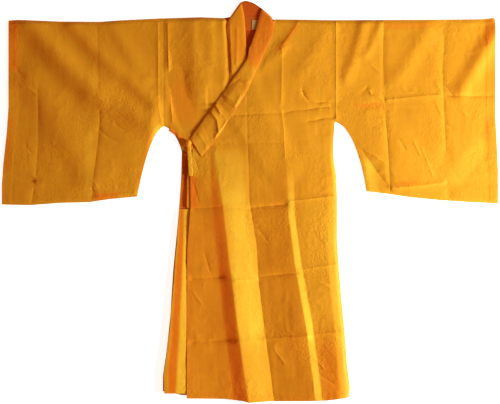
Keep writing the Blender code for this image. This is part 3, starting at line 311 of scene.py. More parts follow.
# The collar band, a row for each section from its hidden end on the right front, round the back
# of the neck, to the armpit. Layer says what it lies on, lift is its mid-thickness over that, and
# turn is how far its outer face has rolled over: 0 up, 90 on edge, 180 down
COLLAR_SECTIONS = (
    {"free": (14.2, 15.8), "seam": (8.0, 10.7), "layer": "under", "lift": 1.2, "turn": 0},
    {"free": (7.3, 24.9), "seam": (1.5, 21.2), "layer": "under", "lift": 1.2, "turn": 0},
    {"free": (2.5, 33.2), "seam": (-3.6, 30.7), "layer": "under", "lift": 1.2, "turn": 0},
    {"free": (-0.4, 42.3), "seam": (-6.9, 41.2), "layer": "under", "lift": 1.2, "turn": 0},
    {"free": (-1.2, 51.4), "seam": (-7.4, 51.4), "layer": "under", "lift": 1.2, "turn": 0},
    {"free": (-1.5, 58.6), "seam": (-8.0, 57.9), "layer": "under", "lift": 1.2, "turn": 0},
    {"free": (-1.8, 64.1), "seam": (-8.6, 63.0), "layer": "under", "lift": 1.4, "turn": 0},
    {"free": (-2.2, 68.0), "seam": (-7.9, 65.7), "layer": "floor", "lift": 5.6, "turn": 0},
    {"free": (-3.0, 71.6), "seam": (-6.9, 66.6), "layer": "floor", "lift": 5.0, "turn": 0},
    {"free": (-3.5, 72.1), "seam": (-7.1, 67.0), "layer": "floor", "lift": 3.2, "turn": 90},
    {"free": (-2.7, 72.5), "seam": (-6.2, 67.1), "layer": "floor", "lift": 1.4, "turn": 180},
    {"free": (-1.3, 72.8), "seam": (-1.5, 67.0), "layer": "floor", "lift": 1.2, "turn": 180},
    {"free": (1.1, 72.1), "seam": (2.5, 67.0), "layer": "floor", "lift": 1.2, "turn": 180},
    {"free": (3.4, 70.7), "seam": (6.8, 67.0), "layer": "floor", "lift": 1.4, "turn": 180},
    {"free": (4.3, 70.0), "seam": (8.1, 66.6), "layer": "floor", "lift": 4.2, "turn": 90},
    {"free": (4.0, 69.3), "seam": (8.1, 66.0), "layer": "floor", "lift": 7.6, "turn": 0},
    {"free": (3.2, 66.6), "seam": (8.6, 64.0), "layer": "over", "lift": 1.2, "turn": 0},
    {"free": (2.1, 62.2), "seam": (8.0, 60.1), "layer": "over", "lift": 1.2, "turn": 0},
    {"free": (0.7, 58.1), "seam": (6.4, 56.4), "layer": "over", "lift": 1.2, "turn": 0},
    {"free": (-0.4, 55.0), "seam": (4.5, 52.4), "layer": "over", "lift": 1.2, "turn": 0},
    {"free": (-1.2, 51.4), "seam": (2.9, 49.0), "layer": "over", "lift": 1.2, "turn": 0},
    {"free": (-3.6, 48.0), "seam": (1.1, 44.8), "layer": "over", "lift": 1.2, "turn": 0},
    {"free": (-7.6, 42.4), "seam": (-1.8, 38.7), "layer": "over", "lift": 1.2, "turn": 0},
    {"free": (-13.1, 34.8), "seam": (-7.6, 29.8), "layer": "over", "lift": 1.2, "turn": 0},
    {"free": (-17.4, 28.7), "seam": (-12.3, 22.5), "layer": "over", "lift": 1.2, "turn": 0},
    {"free": (-21.6, 22.9), "seam": (-17.6, 16.3), "layer": "over", "lift": 1.2, "turn": 0},
)
COLLAR_ACROSS = 34
COLLAR_CROSSING_Y = 40.0
COLLAR_CROSSING_FADE = 6.0
OVERLAP_UNDER_BAND_FROM = 0.42
COLLAR_STEP = 0.28
COLLAR_SUNK = 1.6
COLLAR_ARCH = 0.6
COLLAR_CRUMPLES = (
    {"rise": -3.9, "left": 0.5, "right": 1.4, "line": ((-10.6, 37.6), (-8.6, 34.7), (-5.6, 33.2))},
    {"rise": 2.0, "left": 0.6, "right": 0.9, "line": ((-5.6, 34.4), (-3.6, 38.0))},
    {"rise": 3.4, "left": 1.2, "right": 0.5, "line": ((-14.4, 32.8), (-12.0, 29.4), (-11.4, 25.4))},
    {"rise": 1.6, "left": 0.5, "right": 0.8, "line": ((-9.6, 38.6), (-6.4, 36.6), (-4.4, 36.2))},
    {"rise": 1.5, "left": 0.8, "right": 0.5, "line": ((-18.6, 24.4), (-16.2, 21.0), (-15.8, 18.2))},
    {"rise": 1.4, "left": 0.5, "right": 0.7, "line": ((-5.0, 44.6), (-3.0, 43.2), (-0.4, 43.4))},
    {"rise": 3.3, "left": 0.5, "right": 0.9, "line": ((-12.3, 23.8), (-10.4, 26.2), (-8.6, 28.8))},
    {"rise": 3.3, "left": 0.9, "right": 0.4, "line": ((-12.8, 35.4), (-10.8, 32.0))},
    {"rise": -3.3, "left": 1.0, "right": 0.6, "line": ((-17.8, 29.6), (-15.4, 26.0), (-14.2, 22.8))},
    {"rise": 2.7, "left": 0.5, "right": 0.5, "line": ((-5.2, 30.4), (-4.6, 33.2))},
    {"rise": -3.0, "left": 0.9, "right": 0.6, "line": ((-1.6, 51.0), (1.4, 49.8), (3.6, 47.6))},
    {"rise": -2.1, "left": 0.6, "right": 0.6, "line": ((-6.8, 45.6), (-2.4, 42.6))},
    {"rise": 1.8, "left": 0.6, "right": 0.9, "line": ((-4.6, 62.6), (-4.9, 50.0))},
    {"rise": 2.0, "left": 0.7, "right": 0.4, "line": ((-7.3, 64.0), (-6.7, 47.0))},
)

# Small pieces: the strip that faces the back of the neck, its blank label, and the side tie
FACING = {"left": -3.8, "right": 4.6, "bottom": 62.2, "top": 67.06}
LABEL = {"left": 0.7, "right": 3.4, "bottom": 62.4, "top": 65.8}
TIE_WIDTH = 1.3
SIDE_TIE = ((-29.2, 26.3), (-26.4, 24.2), (-23.6, 21.9))
TIE_END = ((-22.1, 19.75), (-21.8, 15.0), (-21.5, 9.3))
KNOT_CENTRE = (-22.4, 21.0)
KNOT_RADII = (1.25, 1.45, 0.75)

# Painted shade on the parts of the back's inner side that show, which lie in shade: their centres, half sizes and
# softness of the edge
INSIDE_SHADE_PLACES = (
    {"centre": (0.0, 56.0), "half": (9.0, 14.0), "soft": 2.0},
    {"centre": (-22.5, 15.5), "half": (4.5, 6.0), "soft": 5.0},
)


def smooth_step(value):
    value = np.clip(value, 0.0, 1.0)
    return value * value * (3.0 - 2.0 * value)


def arrays(points):
    table = np.array(points, dtype=float)
    return table[:, 0], table[:, 1]


def nearest_on(line, x, y):
    """Distance to a line, and 1 on the left of its direction or -1 on the right."""
    distance = np.full(np.shape(x), np.inf)
    side = np.zeros(np.shape(x))
    for (ax, ay), (bx, by) in zip(line, line[1:]):
        dx, dy = bx - ax, by - ay
        share = np.clip(((x - ax) * dx + (y - ay) * dy) / (dx * dx + dy * dy), 0.0, 1.0)
        gap = np.hypot(x - ax - share * dx, y - ay - share * dy)
        turn = dx * (y - ay) - dy * (x - ax)
        closer = gap < distance
        side = np.where(closer, np.where(turn < 0.0, -1.0, 1.0), side)
        distance = np.where(closer, gap, distance)
    return distance, side


def distance_to(line, x, y):
    return nearest_on(line, x, y)[0]


def x_on(line, y):
    """Where a line that runs downwards stands at height y."""
    line_x, line_y = arrays(line)
    return np.interp(-y, -line_y, line_x)


def column(rows, name, y):
    heights = [-row["y"] for row in rows]
    return np.interp(-y, heights, [row[name] for row in rows])


def bumps(x, y, across, along, seed):
    """Smooth random heights between -1 and 1, the same on every run."""
    size = 96
    grid = np.random.default_rng(seed).uniform(-1.0, 1.0, (size, size))
    u, v = x / across + seed * 1.37, y / along + seed * 2.11
    column_index, row_index = np.floor(u).astype(int), np.floor(v).astype(int)
    share_u, share_v = smooth_step(u - column_index), smooth_step(v - row_index)

    def at(step_u, step_v):
        return grid[(column_index + step_u) % size, (row_index + step_v) % size]

    low = at(0, 0) * (1 - share_u) + at(1, 0) * share_u
    high = at(0, 1) * (1 - share_u) + at(1, 1) * share_u
    return low * (1 - share_v) + high * share_v


def ripples(x, y):
    return sum(row["height"] * bumps(x, y, row["across"], row["along"], row["seed"]) for row in RIPPLES)


def wrinkles(x, y):
    """Thin random ridges, in patches."""
    height = np.zeros(np.shape(x))
    for row in WRINKLES:
        near_zero = 1.0 - np.abs(bumps(x, y, row["across"], row["along"], row["seed"]))
        patch = np.clip(0.25 + bumps(x, y, row["patch"], row["patch"], row["seed"] + 1), 0.0, 1.0)
        height = height + row["height"] * near_zero ** 7 * patch
    return height


def creased(rows, x, y):
    """Sharp ridges and troughs, of a height that wanders along each of them."""
    wander = 1.0 + 0.3 * bumps(x, y, 6.0, 6.0, 41)
    height = np.zeros(np.shape(x))
    for row in rows:
        distance, side = nearest_on(row["line"], x, y)
        width = np.where(side > 0, row["left"], row["right"])
        height = height + row["rise"] * np.exp(-distance / width)
    return height * wander


def softly_folded(rows, x, y):
    height = np.zeros(np.shape(x))
    for row in rows:
        distance, side = nearest_on(row["line"], x, y)
        width = np.where(side > 0, row["left"], row["right"])
        height = height + row["rise"] * np.exp(-((distance / width) ** 2))
    return height * (0.9 + 0.3 * bumps(x, y, 12.0, 12.0, 43))


def folds(x, y):
    """Height that creases, crumples, soft folds and unevenness add to the cloth, in millimetres."""
    sizes = bpy.context.scene.robe_sizes
    sharp = creased(CREASES, x, y) + creased(CRUMPLES, x, y)
    soft = softly_folded(SOFT_FOLDS, x, y) + ripples(x, y) + wrinkles(x, y)
    return sharp * sizes.crease_strength + soft * sizes.fold_strength


def rounded_profile(places, heights, x):
    """Height at x between knots, part straight and part rounded, so that ridges stay crisp."""
    slopes = [(heights[k + 1] - heights[k]) / np.maximum(places[k + 1] - places[k], 0.01) for k in range(len(places) - 1)]
    tangents = [slopes[0] * 0.0]
    for before, after in zip(slopes, slopes[1:]):
        same = before * after > 0
        total = np.where(same, before + after, 1.0)
        tangents.append(np.where(same, 2.0 * before * after / total, 0.0))
    tangents.append(slopes[-1] * 0.0)
    straight = np.where(x < places[0], heights[0], heights[-1])
    rounded = straight
    for k in range(len(places) - 1):
        span = np.maximum(places[k + 1] - places[k], 0.01)
        t = np.clip((x - places[k]) / span, 0.0, 1.0)
        here = (x >= places[k]) & (x <= places[k + 1])
        line = heights[k] + t * (heights[k + 1] - heights[k])
        curve = (
            (2 * t ** 3 - 3 * t ** 2 + 1) * heights[k] + (t ** 3 - 2 * t ** 2 + t) * span * tangents[k]
            + (-2 * t ** 3 + 3 * t ** 2) * heights[k + 1] + (t ** 3 - t ** 2) * span * tangents[k + 1]
        )
        straight = np.where(here, line, straight)
        rounded = np.where(here, curve, rounded)
    return straight * (1.0 - PLEAT_ROUNDING) + rounded * PLEAT_ROUNDING


def pleats(x, y):
    top, seam, edge = (column(PLEATS, name, y) for name in ("top", "seam", "edge"))
    ridge_1, ridge_2, flank = (column(PLEATS, name, y) for name in ("ridge_1", "ridge_2", "flank"))
    side = x_on(LEFT_SIDE, y)
    foot = top * FLANK_FOOT_SHARE
    places = [
        x_on(OVERLAP_EDGE, y), ridge_1 - flank, ridge_1 - flank * (1.0 - FLANK_STEEP_FROM), ridge_1,
        x_on(CENTRE_SEAM, y), ridge_2 - flank * SECOND_FLANK_WIDTH_SHARE, ridge_2, ridge_2 + CREST_WIDTH,
        side - SIDE_ROLL_FROM, side,
    ]
    heights = [
        edge, foot, foot + FLANK_RISE_THERE * (top - foot), top,
        seam, seam + SECOND_FLANK_RISE * (top - seam), top, top * CREST_FOOT_SHARE,
        top * SIDE_ROLL_TOP_SHARE, top * SIDE_ROLL_FOOT_SHARE,
    ]
    return rounded_profile(places, heights, x)


def cubic(handles, steps=CURVE_STEPS):
    """Points along a cubic curve, both ends included."""
    points = []
    for step in range(steps + 1):
        t = step / steps
        weights = ((1 - t) ** 3, 3 * t * (1 - t) ** 2, 3 * t * t * (1 - t), t ** 3)
        points.append(tuple(sum(w * h[axis] for w, h in zip(weights, handles)) for axis in (0, 1)))
    return tuple(points)


def joined(*lines):
    """One line from lines that follow each other, without doubled points."""
    points = []
    for line in lines:
        for point in line:
            if not points or math.dist(point, points[-1]) > SEAM_GAP:
                points.append(point)
    if math.dist(points[0], points[-1]) <= SEAM_GAP:
        points.pop()
    return tuple(points)


def shifted(line, dx=0.0, dy=0.0):
    return tuple((x + dx, y + dy) for x, y in line)


def spaced(line, spacing):
    """The line with more points, so that none of its stretches is longer than the spacing."""
    points = [line[0]]
    for (ax, ay), (bx, by) in zip(line, line[1:]):
        steps = max(1, math.ceil(math.hypot(bx - ax, by - ay) / spacing))
        for step in range(1, steps + 1):
            points.append((ax + (bx - ax) * step / steps, ay + (by - ay) * step / steps))
    return tuple(points)


# Edges where the front layer comes down to the back one, and where edges are hemmed
RIGHT_CLOSED = (
    joined(SHOULDER_RIGHT, SHOULDER_RIGHT_BODY),
    joined(RIGHT_SLEEVE_LOWER, cubic(RIGHT_SLEEVE_CURVE), cubic(RIGHT_ARMPIT_CURVE)),
)
LEFT_CLOSED = (
    joined(SHOULDER_LEFT_BODY, SHOULDER_LEFT),
    joined(LEFT_SLEEVE_LOWER, cubic(LEFT_SLEEVE_CURVE), LEFT_SIDE),
)
SEAMS = (
    ((RIGHT_SEAM_X, 66.4), (RIGHT_SEAM_X, 27.3)),
    CENTRE_SEAM,
)
SKIRT_HEM = joined(OVERLAP_HEM, LEFT_FRONT_HEM)
HIDDEN_COLLAR_LINE = tuple(
    ((row["free"][0] + row["seam"][0]) / 2, (row["free"][1] + row["seam"][1]) / 2) for row in COLLAR_SECTIONS[:6]
)
UNDER_COLLAR_LINE = tuple(
    ((row["free"][0] + row["seam"][0]) / 2, (row["free"][1] + row["seam"][1]) / 2) for row in COLLAR_SECTIONS[:9]
)
OVER_COLLAR_LINE = tuple(
    ((row["free"][0] + row["seam"][0]) / 2, (row["free"][1] + row["seam"][1]) / 2) for row in COLLAR_SECTIONS
    if row["layer"] == "over"
)


def edge_share(closed_lines, x, y):
    nearest = np.minimum.reduce([distance_to(line, x, y) for line in closed_lines])
    return smooth_step(nearest / EDGE_ROLL)


def clear_of(line, x, y):
    """0 under the collar that runs along a line, rising to 1 beside it."""
    return smooth_step((distance_to(line, x, y) - HIDDEN_COLLAR_HALF_WIDTH + 1.2) / 1.4)


def over_hidden_collar(x, y):
    beyond = distance_to(HIDDEN_COLLAR_LINE, x, y) - HIDDEN_COLLAR_HALF_WIDTH
    return HIDDEN_COLLAR_RISE * (1.0 - smooth_step(beyond / HIDDEN_COLLAR_FADE))


def hems(x, y):
    """The step of the turned hems, and the dip of the cloth along its seams."""
    step = HEM_STEP * (1.0 - smooth_step((distance_to(SKIRT_HEM, x, y) - HEM_DEPTH) / 0.25))
    for cuff in (RIGHT_CUFF, LEFT_CUFF):
        step = step + HEM_STEP * (1.0 - smooth_step((distance_to(cuff, x, y) - CUFF_HEM_DEPTH) / 0.25))
    dip = sum(np.exp(-((distance_to(seam, x, y) / 0.35) ** 2)) for seam in SEAMS)
    return step - 0.5 * dip


def sleeve_height(closed_lines):
    def height(x, y):
        lift = np.maximum(SLEEVE_RISE + folds(x, y) + hems(x, y), LEAST_LIFT)
        return SEAM_Z + edge_share(closed_lines, x, y) * lift
    return height


def right_front_height(x, y):
    """Height of the right front's lower face."""
    detail = clear_of(UNDER_COLLAR_LINE, x, y) * (folds(x, y) + hems(x, y))
    lift = UNDERLAP_RISE + UNDERLAP_PLEAT_SHARE * pleats(x, y) + detail
    return SEAM_Z + edge_share(RIGHT_CLOSED, x, y) * np.maximum(lift, LEAST_LIFT)


def left_front_height(x, y):
    """Height of the lower face of the left front and of the overlap, which lies on the right front."""
    hidden_edge_x = UNDERLAP_HIDDEN_EDGE[0][0]
    towards_side = smooth_step((LEFT_SEAM_X - x) / (LEFT_SEAM_X - hidden_edge_x))
    rise = OVERLAP_RISE_AT_SIDE + towards_side * (OVERLAP_RISE - OVERLAP_RISE_AT_SIDE)
    detail = clear_of(OVER_COLLAR_LINE, x, y) * (folds(x, y) + hems(x, y))
    lift = rise + over_hidden_collar(x, y) + pleats(x, y) + detail
    return SEAM_Z + edge_share(LEFT_CLOSED, x, y) * np.maximum(lift, LEAST_LIFT)


def back_height(x, y):
    """The back's lower face lies on the floor and is hardly uneven. Its middle seam is a fine groove."""
    seam = 0.25 * np.exp(-((x / 0.35) ** 2))
    return 0.08 * (1.0 + bumps(x, y, 5.0, 8.0, 51)) + seam * 0.5


def inside_of(outline, x, y):
    """Whether each place lies inside an outline."""
    inside = np.zeros(np.shape(x), dtype=bool)
    for (ax, ay), (bx, by) in zip(outline, outline[1:] + outline[:1]):
        if ay != by:
            inside ^= ((ay > y) != (by > y)) & (x < ax + (y - ay) / (by - ay) * (bx - ax))
    return inside


def stretches_inside(outline, line):
    """The stretches of a line, in fine steps, that lie inside an outline and clear of its border."""
    line = spaced(line, FOLD_STEP)
    x, y = arrays(line)
    kept = inside_of(outline, x, y) & (distance_to(outline + outline[:1], x, y) > FOLD_STEP)
    stretches, current = [], []
    for point, keep in zip(line, kept):
        if keep:
            current.append(point)
        elif current:
            stretches.append(current)
            current = []
    return [stretch for stretch in (*stretches, current) if len(stretch) > 1]


def triangulated(outline, fold_lines, spacing):
    """Triangles inside an outline, fine along the fold lines, with a lattice between them."""
    fold_lines = [stretch for line in fold_lines for stretch in stretches_inside(outline, line)]
    outline = spaced(outline + outline[:1], spacing)[:-1]
    points = list(outline)
    edges = [(index, (index + 1) % len(points)) for index in range(len(points))]
    border = outline + outline[:1]
    beside_points = []
    for line in fold_lines:
        first = len(points)
        points.extend(line)
        edges.extend((first + index, first + index + 1) for index in range(len(line) - 1))
        for (ax, ay), (bx, by) in zip(line, line[1:]):
            length = math.hypot(bx - ax, by - ay)
            for away in FOLD_ROWS:
                for side in (-away, away):
                    beside_points.append(((ax + bx) / 2 + (ay - by) / length * side,
                                          (ay + by) / 2 + (bx - ax) / length * side))
    outline_x, outline_y = arrays(outline)
    row_step = spacing * math.sqrt(3) / 2
    rows = np.arange(outline_y.min(), outline_y.max(), row_step)
    columns = np.arange(outline_x.min(), outline_x.max() + spacing, spacing)
    x, y = np.meshgrid(columns, rows)
    x = x + 0.5 * spacing * (np.arange(len(rows)) % 2)[:, None]
    x, y = x.ravel(), y.ravel()
    inner = inside_of(outline, x, y) & (distance_to(border, x, y) > spacing * 0.45)
    x, y = x[inner], y[inner]
    for line in fold_lines:
        clear = distance_to(line, x, y) > FOLD_ROWS[-1] + spacing * 0.45
        x, y = x[clear], y[clear]
    points.extend(zip(x.tolist(), y.tolist()))
    if beside_points:
        x, y = arrays(beside_points)
        apart = inside_of(outline, x, y) & (distance_to(border, x, y) > spacing * 0.35)
        x, y = x[apart], y[apart]
        for line in fold_lines:
            apart = distance_to(line, x, y) > FOLD_ROWS[0] * 0.9
            x, y = x[apart], y[apart]
        points.extend(zip(x.tolist(), y.tolist()))
    found, _, triangles, *_ = delaunay_2d_cdt([Vector(point) for point in points], edges, [], 1, 1e-4)
    used = sorted({corner for triangle in triangles for corner in triangle})
    number = {corner: index for index, corner in enumerate(used)}
    flat = np.array([(found[corner].x, found[corner].y) for corner in used])
    return flat, [tuple(number[corner] for corner in triangle) for triangle in triangles]


def rim_of(triangles):
    """Edges with one triangle, each in the direction its triangle gives it."""
    sides = {(a, b) for triangle in triangles for a, b in zip(triangle, triangle[1:] + triangle[:1])}
    return [(a, b) for a, b in sides if (b, a) not in sides]


def outward_of(flat, rim):
    """Unit directions out of the outline at the corners of its rim."""
    outward = np.zeros_like(flat)
    for a, b in rim:
        step = flat[b] - flat[a]
        normal = np.array((step[1], -step[0])) / (np.hypot(*step) or 1.0)
        outward[a] += normal
        outward[b] += normal
    length = np.hypot(outward[:, 0], outward[:, 1])
    length[length == 0] = 1.0
    return outward / length[:, None]


def add_piece(name, points, faces, finish, nodes=()):
    """A closed mesh as a named object that rides on the robe and stands for CAD nodes."""
    mesh = bpy.data.meshes.new(name)
    mesh.from_pydata([tuple(point) for point in points], [], faces)
    shape = bmesh.new()
    shape.from_mesh(mesh)
    bmesh.ops.recalc_face_normals(shape, faces=shape.faces)
    shape.to_mesh(mesh)
    shape.free()
    mesh.shade_smooth()
    mesh.set_sharp_from_angle(angle=math.radians(42))
    mesh.materials.append(finish)
    piece = bpy.data.objects.new(name, mesh)
    bpy.context.scene.collection.objects.link(piece)
    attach(piece, BODY)
    if nodes:
        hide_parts(*nodes)
    return piece


def set_painted_shade(piece, inside=None, painted_shade_and_light=None):
    """Stores the painted shade or painted light at each point, and how much painted shade it gets inside the garment.
    """
    mesh = piece.data
    places = np.zeros(len(mesh.vertices) * 3)
    mesh.vertices.foreach_get("co", places)
    places = places.reshape(-1, 3)
    x, y = places[:, 0] / CM, places[:, 1] / CM
    tone = np.zeros(len(x)) if painted_shade_and_light is None else painted_shade_and_light(x, y)
    hidden = np.zeros(len(x)) if inside is None else inside(x, y)
    for name, values in (("flank", tone), ("light", -tone), ("inside", hidden)):
        mesh.attributes.new(name, "FLOAT", "POINT").data.foreach_set("value", np.clip(values, 0.0, 1.0))


def painted_shade_places(x, y):
    total = np.zeros(np.shape(x))
    for row in PAINTED_SHADE_PLACES:
        distance, side = nearest_on(row["line"], x, y)
        width = np.where(side > 0, row["left"], row["right"])
        total = total + row["rise"] * np.exp(-((distance / width) ** 4))
    return total


def pleat_painted_shade(x, y):
    """Painted shade on slopes of the pleats that rise towards the right, away from the light, and painted light right
    of the ridges, on slopes that face it; a redder tone over the skirt, more left of the centre seam; painted shade
    along the roll by the left side; and the painted places and doubled hems.
    """
    step = 0.3
    slope = (pleats(x + step, y) - pleats(x - step, y)) * MM / (2 * step * CM)
    on_skirt = smooth_step((14.0 - y) / 16.0)
    share = np.where(x < x_on(CENTRE_SEAM, y), 1.0, 0.6)
    deep = 0.07 * on_skirt + PLEAT_PAINTED_SHADE * share * np.clip((slope - 0.03) / 0.15, 0.0, 1.0)
    deep = deep + 0.2 * on_skirt * (x < x_on(CENTRE_SEAM, y))
    deep = deep + 0.8 * on_skirt * smooth_step((x - x_on(LEFT_SIDE, y) + 1.6) / 0.8)
    before_roll = x < x_on(LEFT_SIDE, y) - SIDE_ROLL_FROM
    fading = 1.0 - 0.6 * smooth_step((-44.0 - y) / 14.0)
    light = PLEAT_PAINTED_LIGHT * np.clip((-slope - 0.03) / 0.08, 0.0, 1.0) * on_skirt * before_roll * fading
    return deep - light + painted_shade_places(x, y) + hem_tone(x, y)


# Painted shade on slopes of the soft folds that rise towards the right, away from the light, with the painted places
# and the tone of the doubled hems
def sleeve_painted_shade(x, y):
    step = 0.8
    slope = (softly_folded(SOFT_FOLDS, x + step, y) - softly_folded(SOFT_FOLDS, x - step, y)) * MM / (2 * step * CM)
    return np.clip((slope - 0.02) / 0.6, 0.0, 0.15) + painted_shade_places(x, y) + hem_tone(x, y)


def hem_tone(x, y):
    tone = np.zeros(np.shape(x))
    for cuff in (RIGHT_CUFF, LEFT_CUFF):
        tone = tone + 0.12 * (1.0 - smooth_step((distance_to(cuff, x, y) - CUFF_HEM_DEPTH) / 0.4))
    return tone + 0.12 * (1.0 - smooth_step((distance_to(SKIRT_HEM, x, y) - HEM_DEPTH) / 0.4))


def underlap_painted_shade(x, y):
    """Painted shade on the edge of the right front that shows in the shade beside the overlap."""
    return (0.35 + 0.4 * smooth_step((y - 6.0) / 4.0)) * (x < -20.4) * (y < 16.0)


# Painted shade on the back's inner side where it shows in the shade
def back_painted_shade(x, y):
    tone = np.zeros(np.shape(x))
    for place in INSIDE_SHADE_PLACES:
        (centre_x, centre_y), (half_x, half_y) = place["centre"], place["half"]
        beyond = np.maximum(np.abs(x - centre_x) - half_x, np.abs(y - centre_y) - half_y)
        tone = np.maximum(tone, 1.0 - smooth_step(beyond / place["soft"]))
    return tone


def cloth_panel(name, outline, lower_height, finish, fold_lines=(), spacing=None, thickness=CLOTH, nodes=None):
    """A sheet of even thickness with a rounded rim, whose lower face follows a height function."""
    spacing = spacing or bpy.context.scene.robe_sizes.mesh_spacing / CM
    flat, triangles = triangulated(outline, fold_lines, spacing)
    count = len(flat)
    x, y = flat[:, 0], flat[:, 1]
    low = lower_height(x, y)
    rim = rim_of(triangles)
    corners = sorted({corner for edge in rim for corner in edge})
    outward = outward_of(flat, rim)
    lower = np.column_stack((x * CM, y * CM, low * MM))
    upper = lower + np.array((0.0, 0.0, thickness * MM))
    middle = (lower + upper)[corners] / 2
    middle[:, :2] += outward[corners] * 0.25 * MM
    number = {corner: 2 * count + index for index, corner in enumerate(corners)}
    faces = [tuple(reversed(triangle)) for triangle in triangles]
    faces += [tuple(corner + count for corner in triangle) for triangle in triangles]
    for a, b in rim:
        faces.append((a, b, number[b], number[a]))
        faces.append((number[a], number[b], b + count, a + count))
    return add_piece(name, np.vstack((lower, upper, middle)), faces, finish, nodes or (name,))


def sleeve(name, outline, open_lines, upper_height, finish, fold_lines):
    """A flattened tube: a front and a back layer, joined at the fold and the seam, open at both ends."""
    flat, triangles = triangulated(outline, fold_lines, bpy.context.scene.robe_sizes.mesh_spacing / CM)
    count = len(flat)
    x, y = flat[:, 0], flat[:, 1]
    rim = rim_of(triangles)
    on_mouth = np.minimum.reduce([distance_to(line, x, y) for line in open_lines]) < SEAM_GAP
    is_open = {(a, b) for a, b in rim if on_mouth[a] and on_mouth[b]}
    closed = [edge for edge in rim if edge not in is_open]
    outward = outward_of(flat, closed)
    mouth_corners = {c for edge in is_open for c in edge} & {c for edge in closed for c in edge}
    for corner in mouth_corners:
        outward[corner] = (0.0, math.copysign(1.0, outward[corner][1]))
    inner = flat - outward * (CLOTH * MM / CM)
    below = upper_height(x, y)
    under = 0.08 * (1.0 + bumps(x, y, 5.0, 8.0, 53))

    def layer(places, height):
        return np.column_stack((places[:, 0] * CM, places[:, 1] * CM, height * MM))

    layers = [layer(flat, below + CLOTH), layer(inner, below), layer(inner, under + CLOTH - 0.15), layer(flat, under)]
    points = np.vstack(layers)
    faces = []
    for index, upwards in enumerate((True, False, True, False)):
        for triangle in triangles:
            corners = triangle if upwards else tuple(reversed(triangle))
            faces.append(tuple(corner + index * count for corner in corners))
    turned = sorted({corner for edge in closed for corner in edge} - mouth_corners)
    number = {corner: 4 * count + index for index, corner in enumerate(turned)}
    middle = (layers[0] + layers[3])[turned] / 2
    middle[:, :2] += outward[turned] * 0.8 * MM
    for a, b in closed:
        side_a = [a + 3 * count] + ([number[a]] if a in number else []) + [a]
        side_b = [b + 3 * count] + ([number[b]] if b in number else []) + [b]
        if len(side_a) == len(side_b) == 3:
            faces.append((side_a[0], side_b[0], side_b[1], side_a[1]))
            faces.append((side_a[1], side_b[1], side_b[2], side_a[2]))
        else:
            faces.append(tuple(side_b + side_a[::-1]))
        faces.append((a + count, b + count, b + 2 * count, a + 2 * count))
    for a, b in is_open:
        faces.append((a + count, b + count, b, a))
        faces.append((a + 3 * count, b + 3 * count, b + 2 * count, a + 2 * count))
    for corner in mouth_corners:
        faces.append(tuple(corner + index * count for index in range(4)))
    return add_piece(name, np.vstack((points, middle)), faces, finish, (name.replace("_tube", ""),))


def loft(name, sections, finish, nodes=None):
    """A solid through loops of points, one loop to a section, capped at both ends."""
    size = len(sections[0])
    points = np.vstack(sections)
    faces = [tuple(range(size)), tuple(reversed(range(len(points) - size, len(points))))]
    for first in range(0, len(points) - size, size):
        for index in range(size):
            other = (index + 1) % size
            faces.append((first + index, first + other, first + size + other, first + size + index))
    return add_piece(name, points, faces, finish, nodes or (name,))


def stitches(name, lines, surface, finish, inset=0.4):
    """A row of small stitches along each line, lying on the cloth."""
    sizes = bpy.context.scene.robe_sizes
    pitch = (sizes.stitch_length + sizes.stitch_gap) / CM
    half = sizes.stitch_length / CM / 2
    width = sizes.stitch_width / CM / 2
    centres, along = [], []
    for line in lines:
        length = sum(math.dist(a, b) for a, b in zip(line, line[1:]))
        walked, target = 0.0, inset
        for (ax, ay), (bx, by) in zip(line, line[1:]):
            stretch = math.dist((ax, ay), (bx, by))
            while target <= walked + stretch and target < length - inset:
                share = (target - walked) / stretch
                centres.append((ax + share * (bx - ax), ay + share * (by - ay)))
                along.append(((bx - ax) / stretch, (by - ay) / stretch))
                target += pitch
            walked += stretch
    centres, along = np.array(centres), np.array(along)
    across = np.column_stack((-along[:, 1], along[:, 0]))
    thick = sizes.stitch_width / MM * 0.45
    corners = []
    for offset, rise in (
        (-along * half, 0.0), (across * width, 0.0), (along * half, 0.0), (-across * width, 0.0),
        (along * 0.0, thick), (along * 0.0, -thick * 0.6),
    ):
        places = centres + offset
        corners.append(np.column_stack((places * CM, (surface(places[:, 0], places[:, 1]) + rise) * MM)))
    points = np.stack(corners, axis=1).reshape(-1, 3)
    faces = []
    for first in range(0, len(points), 6):
        for index in range(4):
            other = (index + 1) % 4
            faces.append((first + index, first + other, first + 4))
            faces.append((first + other, first + index, first + 5))
    return add_piece(name, points, faces, finish)


def inset_line(line, distance):
    """A line moved to the left of its direction."""
    moved = []
    for index, (x, y) in enumerate(line):
        before, after = line[max(index - 1, 0)], line[min(index + 1, len(line) - 1)]
        length = math.dist(before, after)
        moved.append((x - (after[1] - before[1]) / length * distance, y + (after[0] - before[0]) / length * distance))
    return tuple(moved)


# Materials

def new_node(tree, kind, **settings):
    node = tree.nodes.new(kind)
    for name, value in settings.items():
        if name == "inputs":
            for socket, given in value.items():
                node.inputs[socket].default_value = given
        else:
            setattr(node, name, value)
    return node


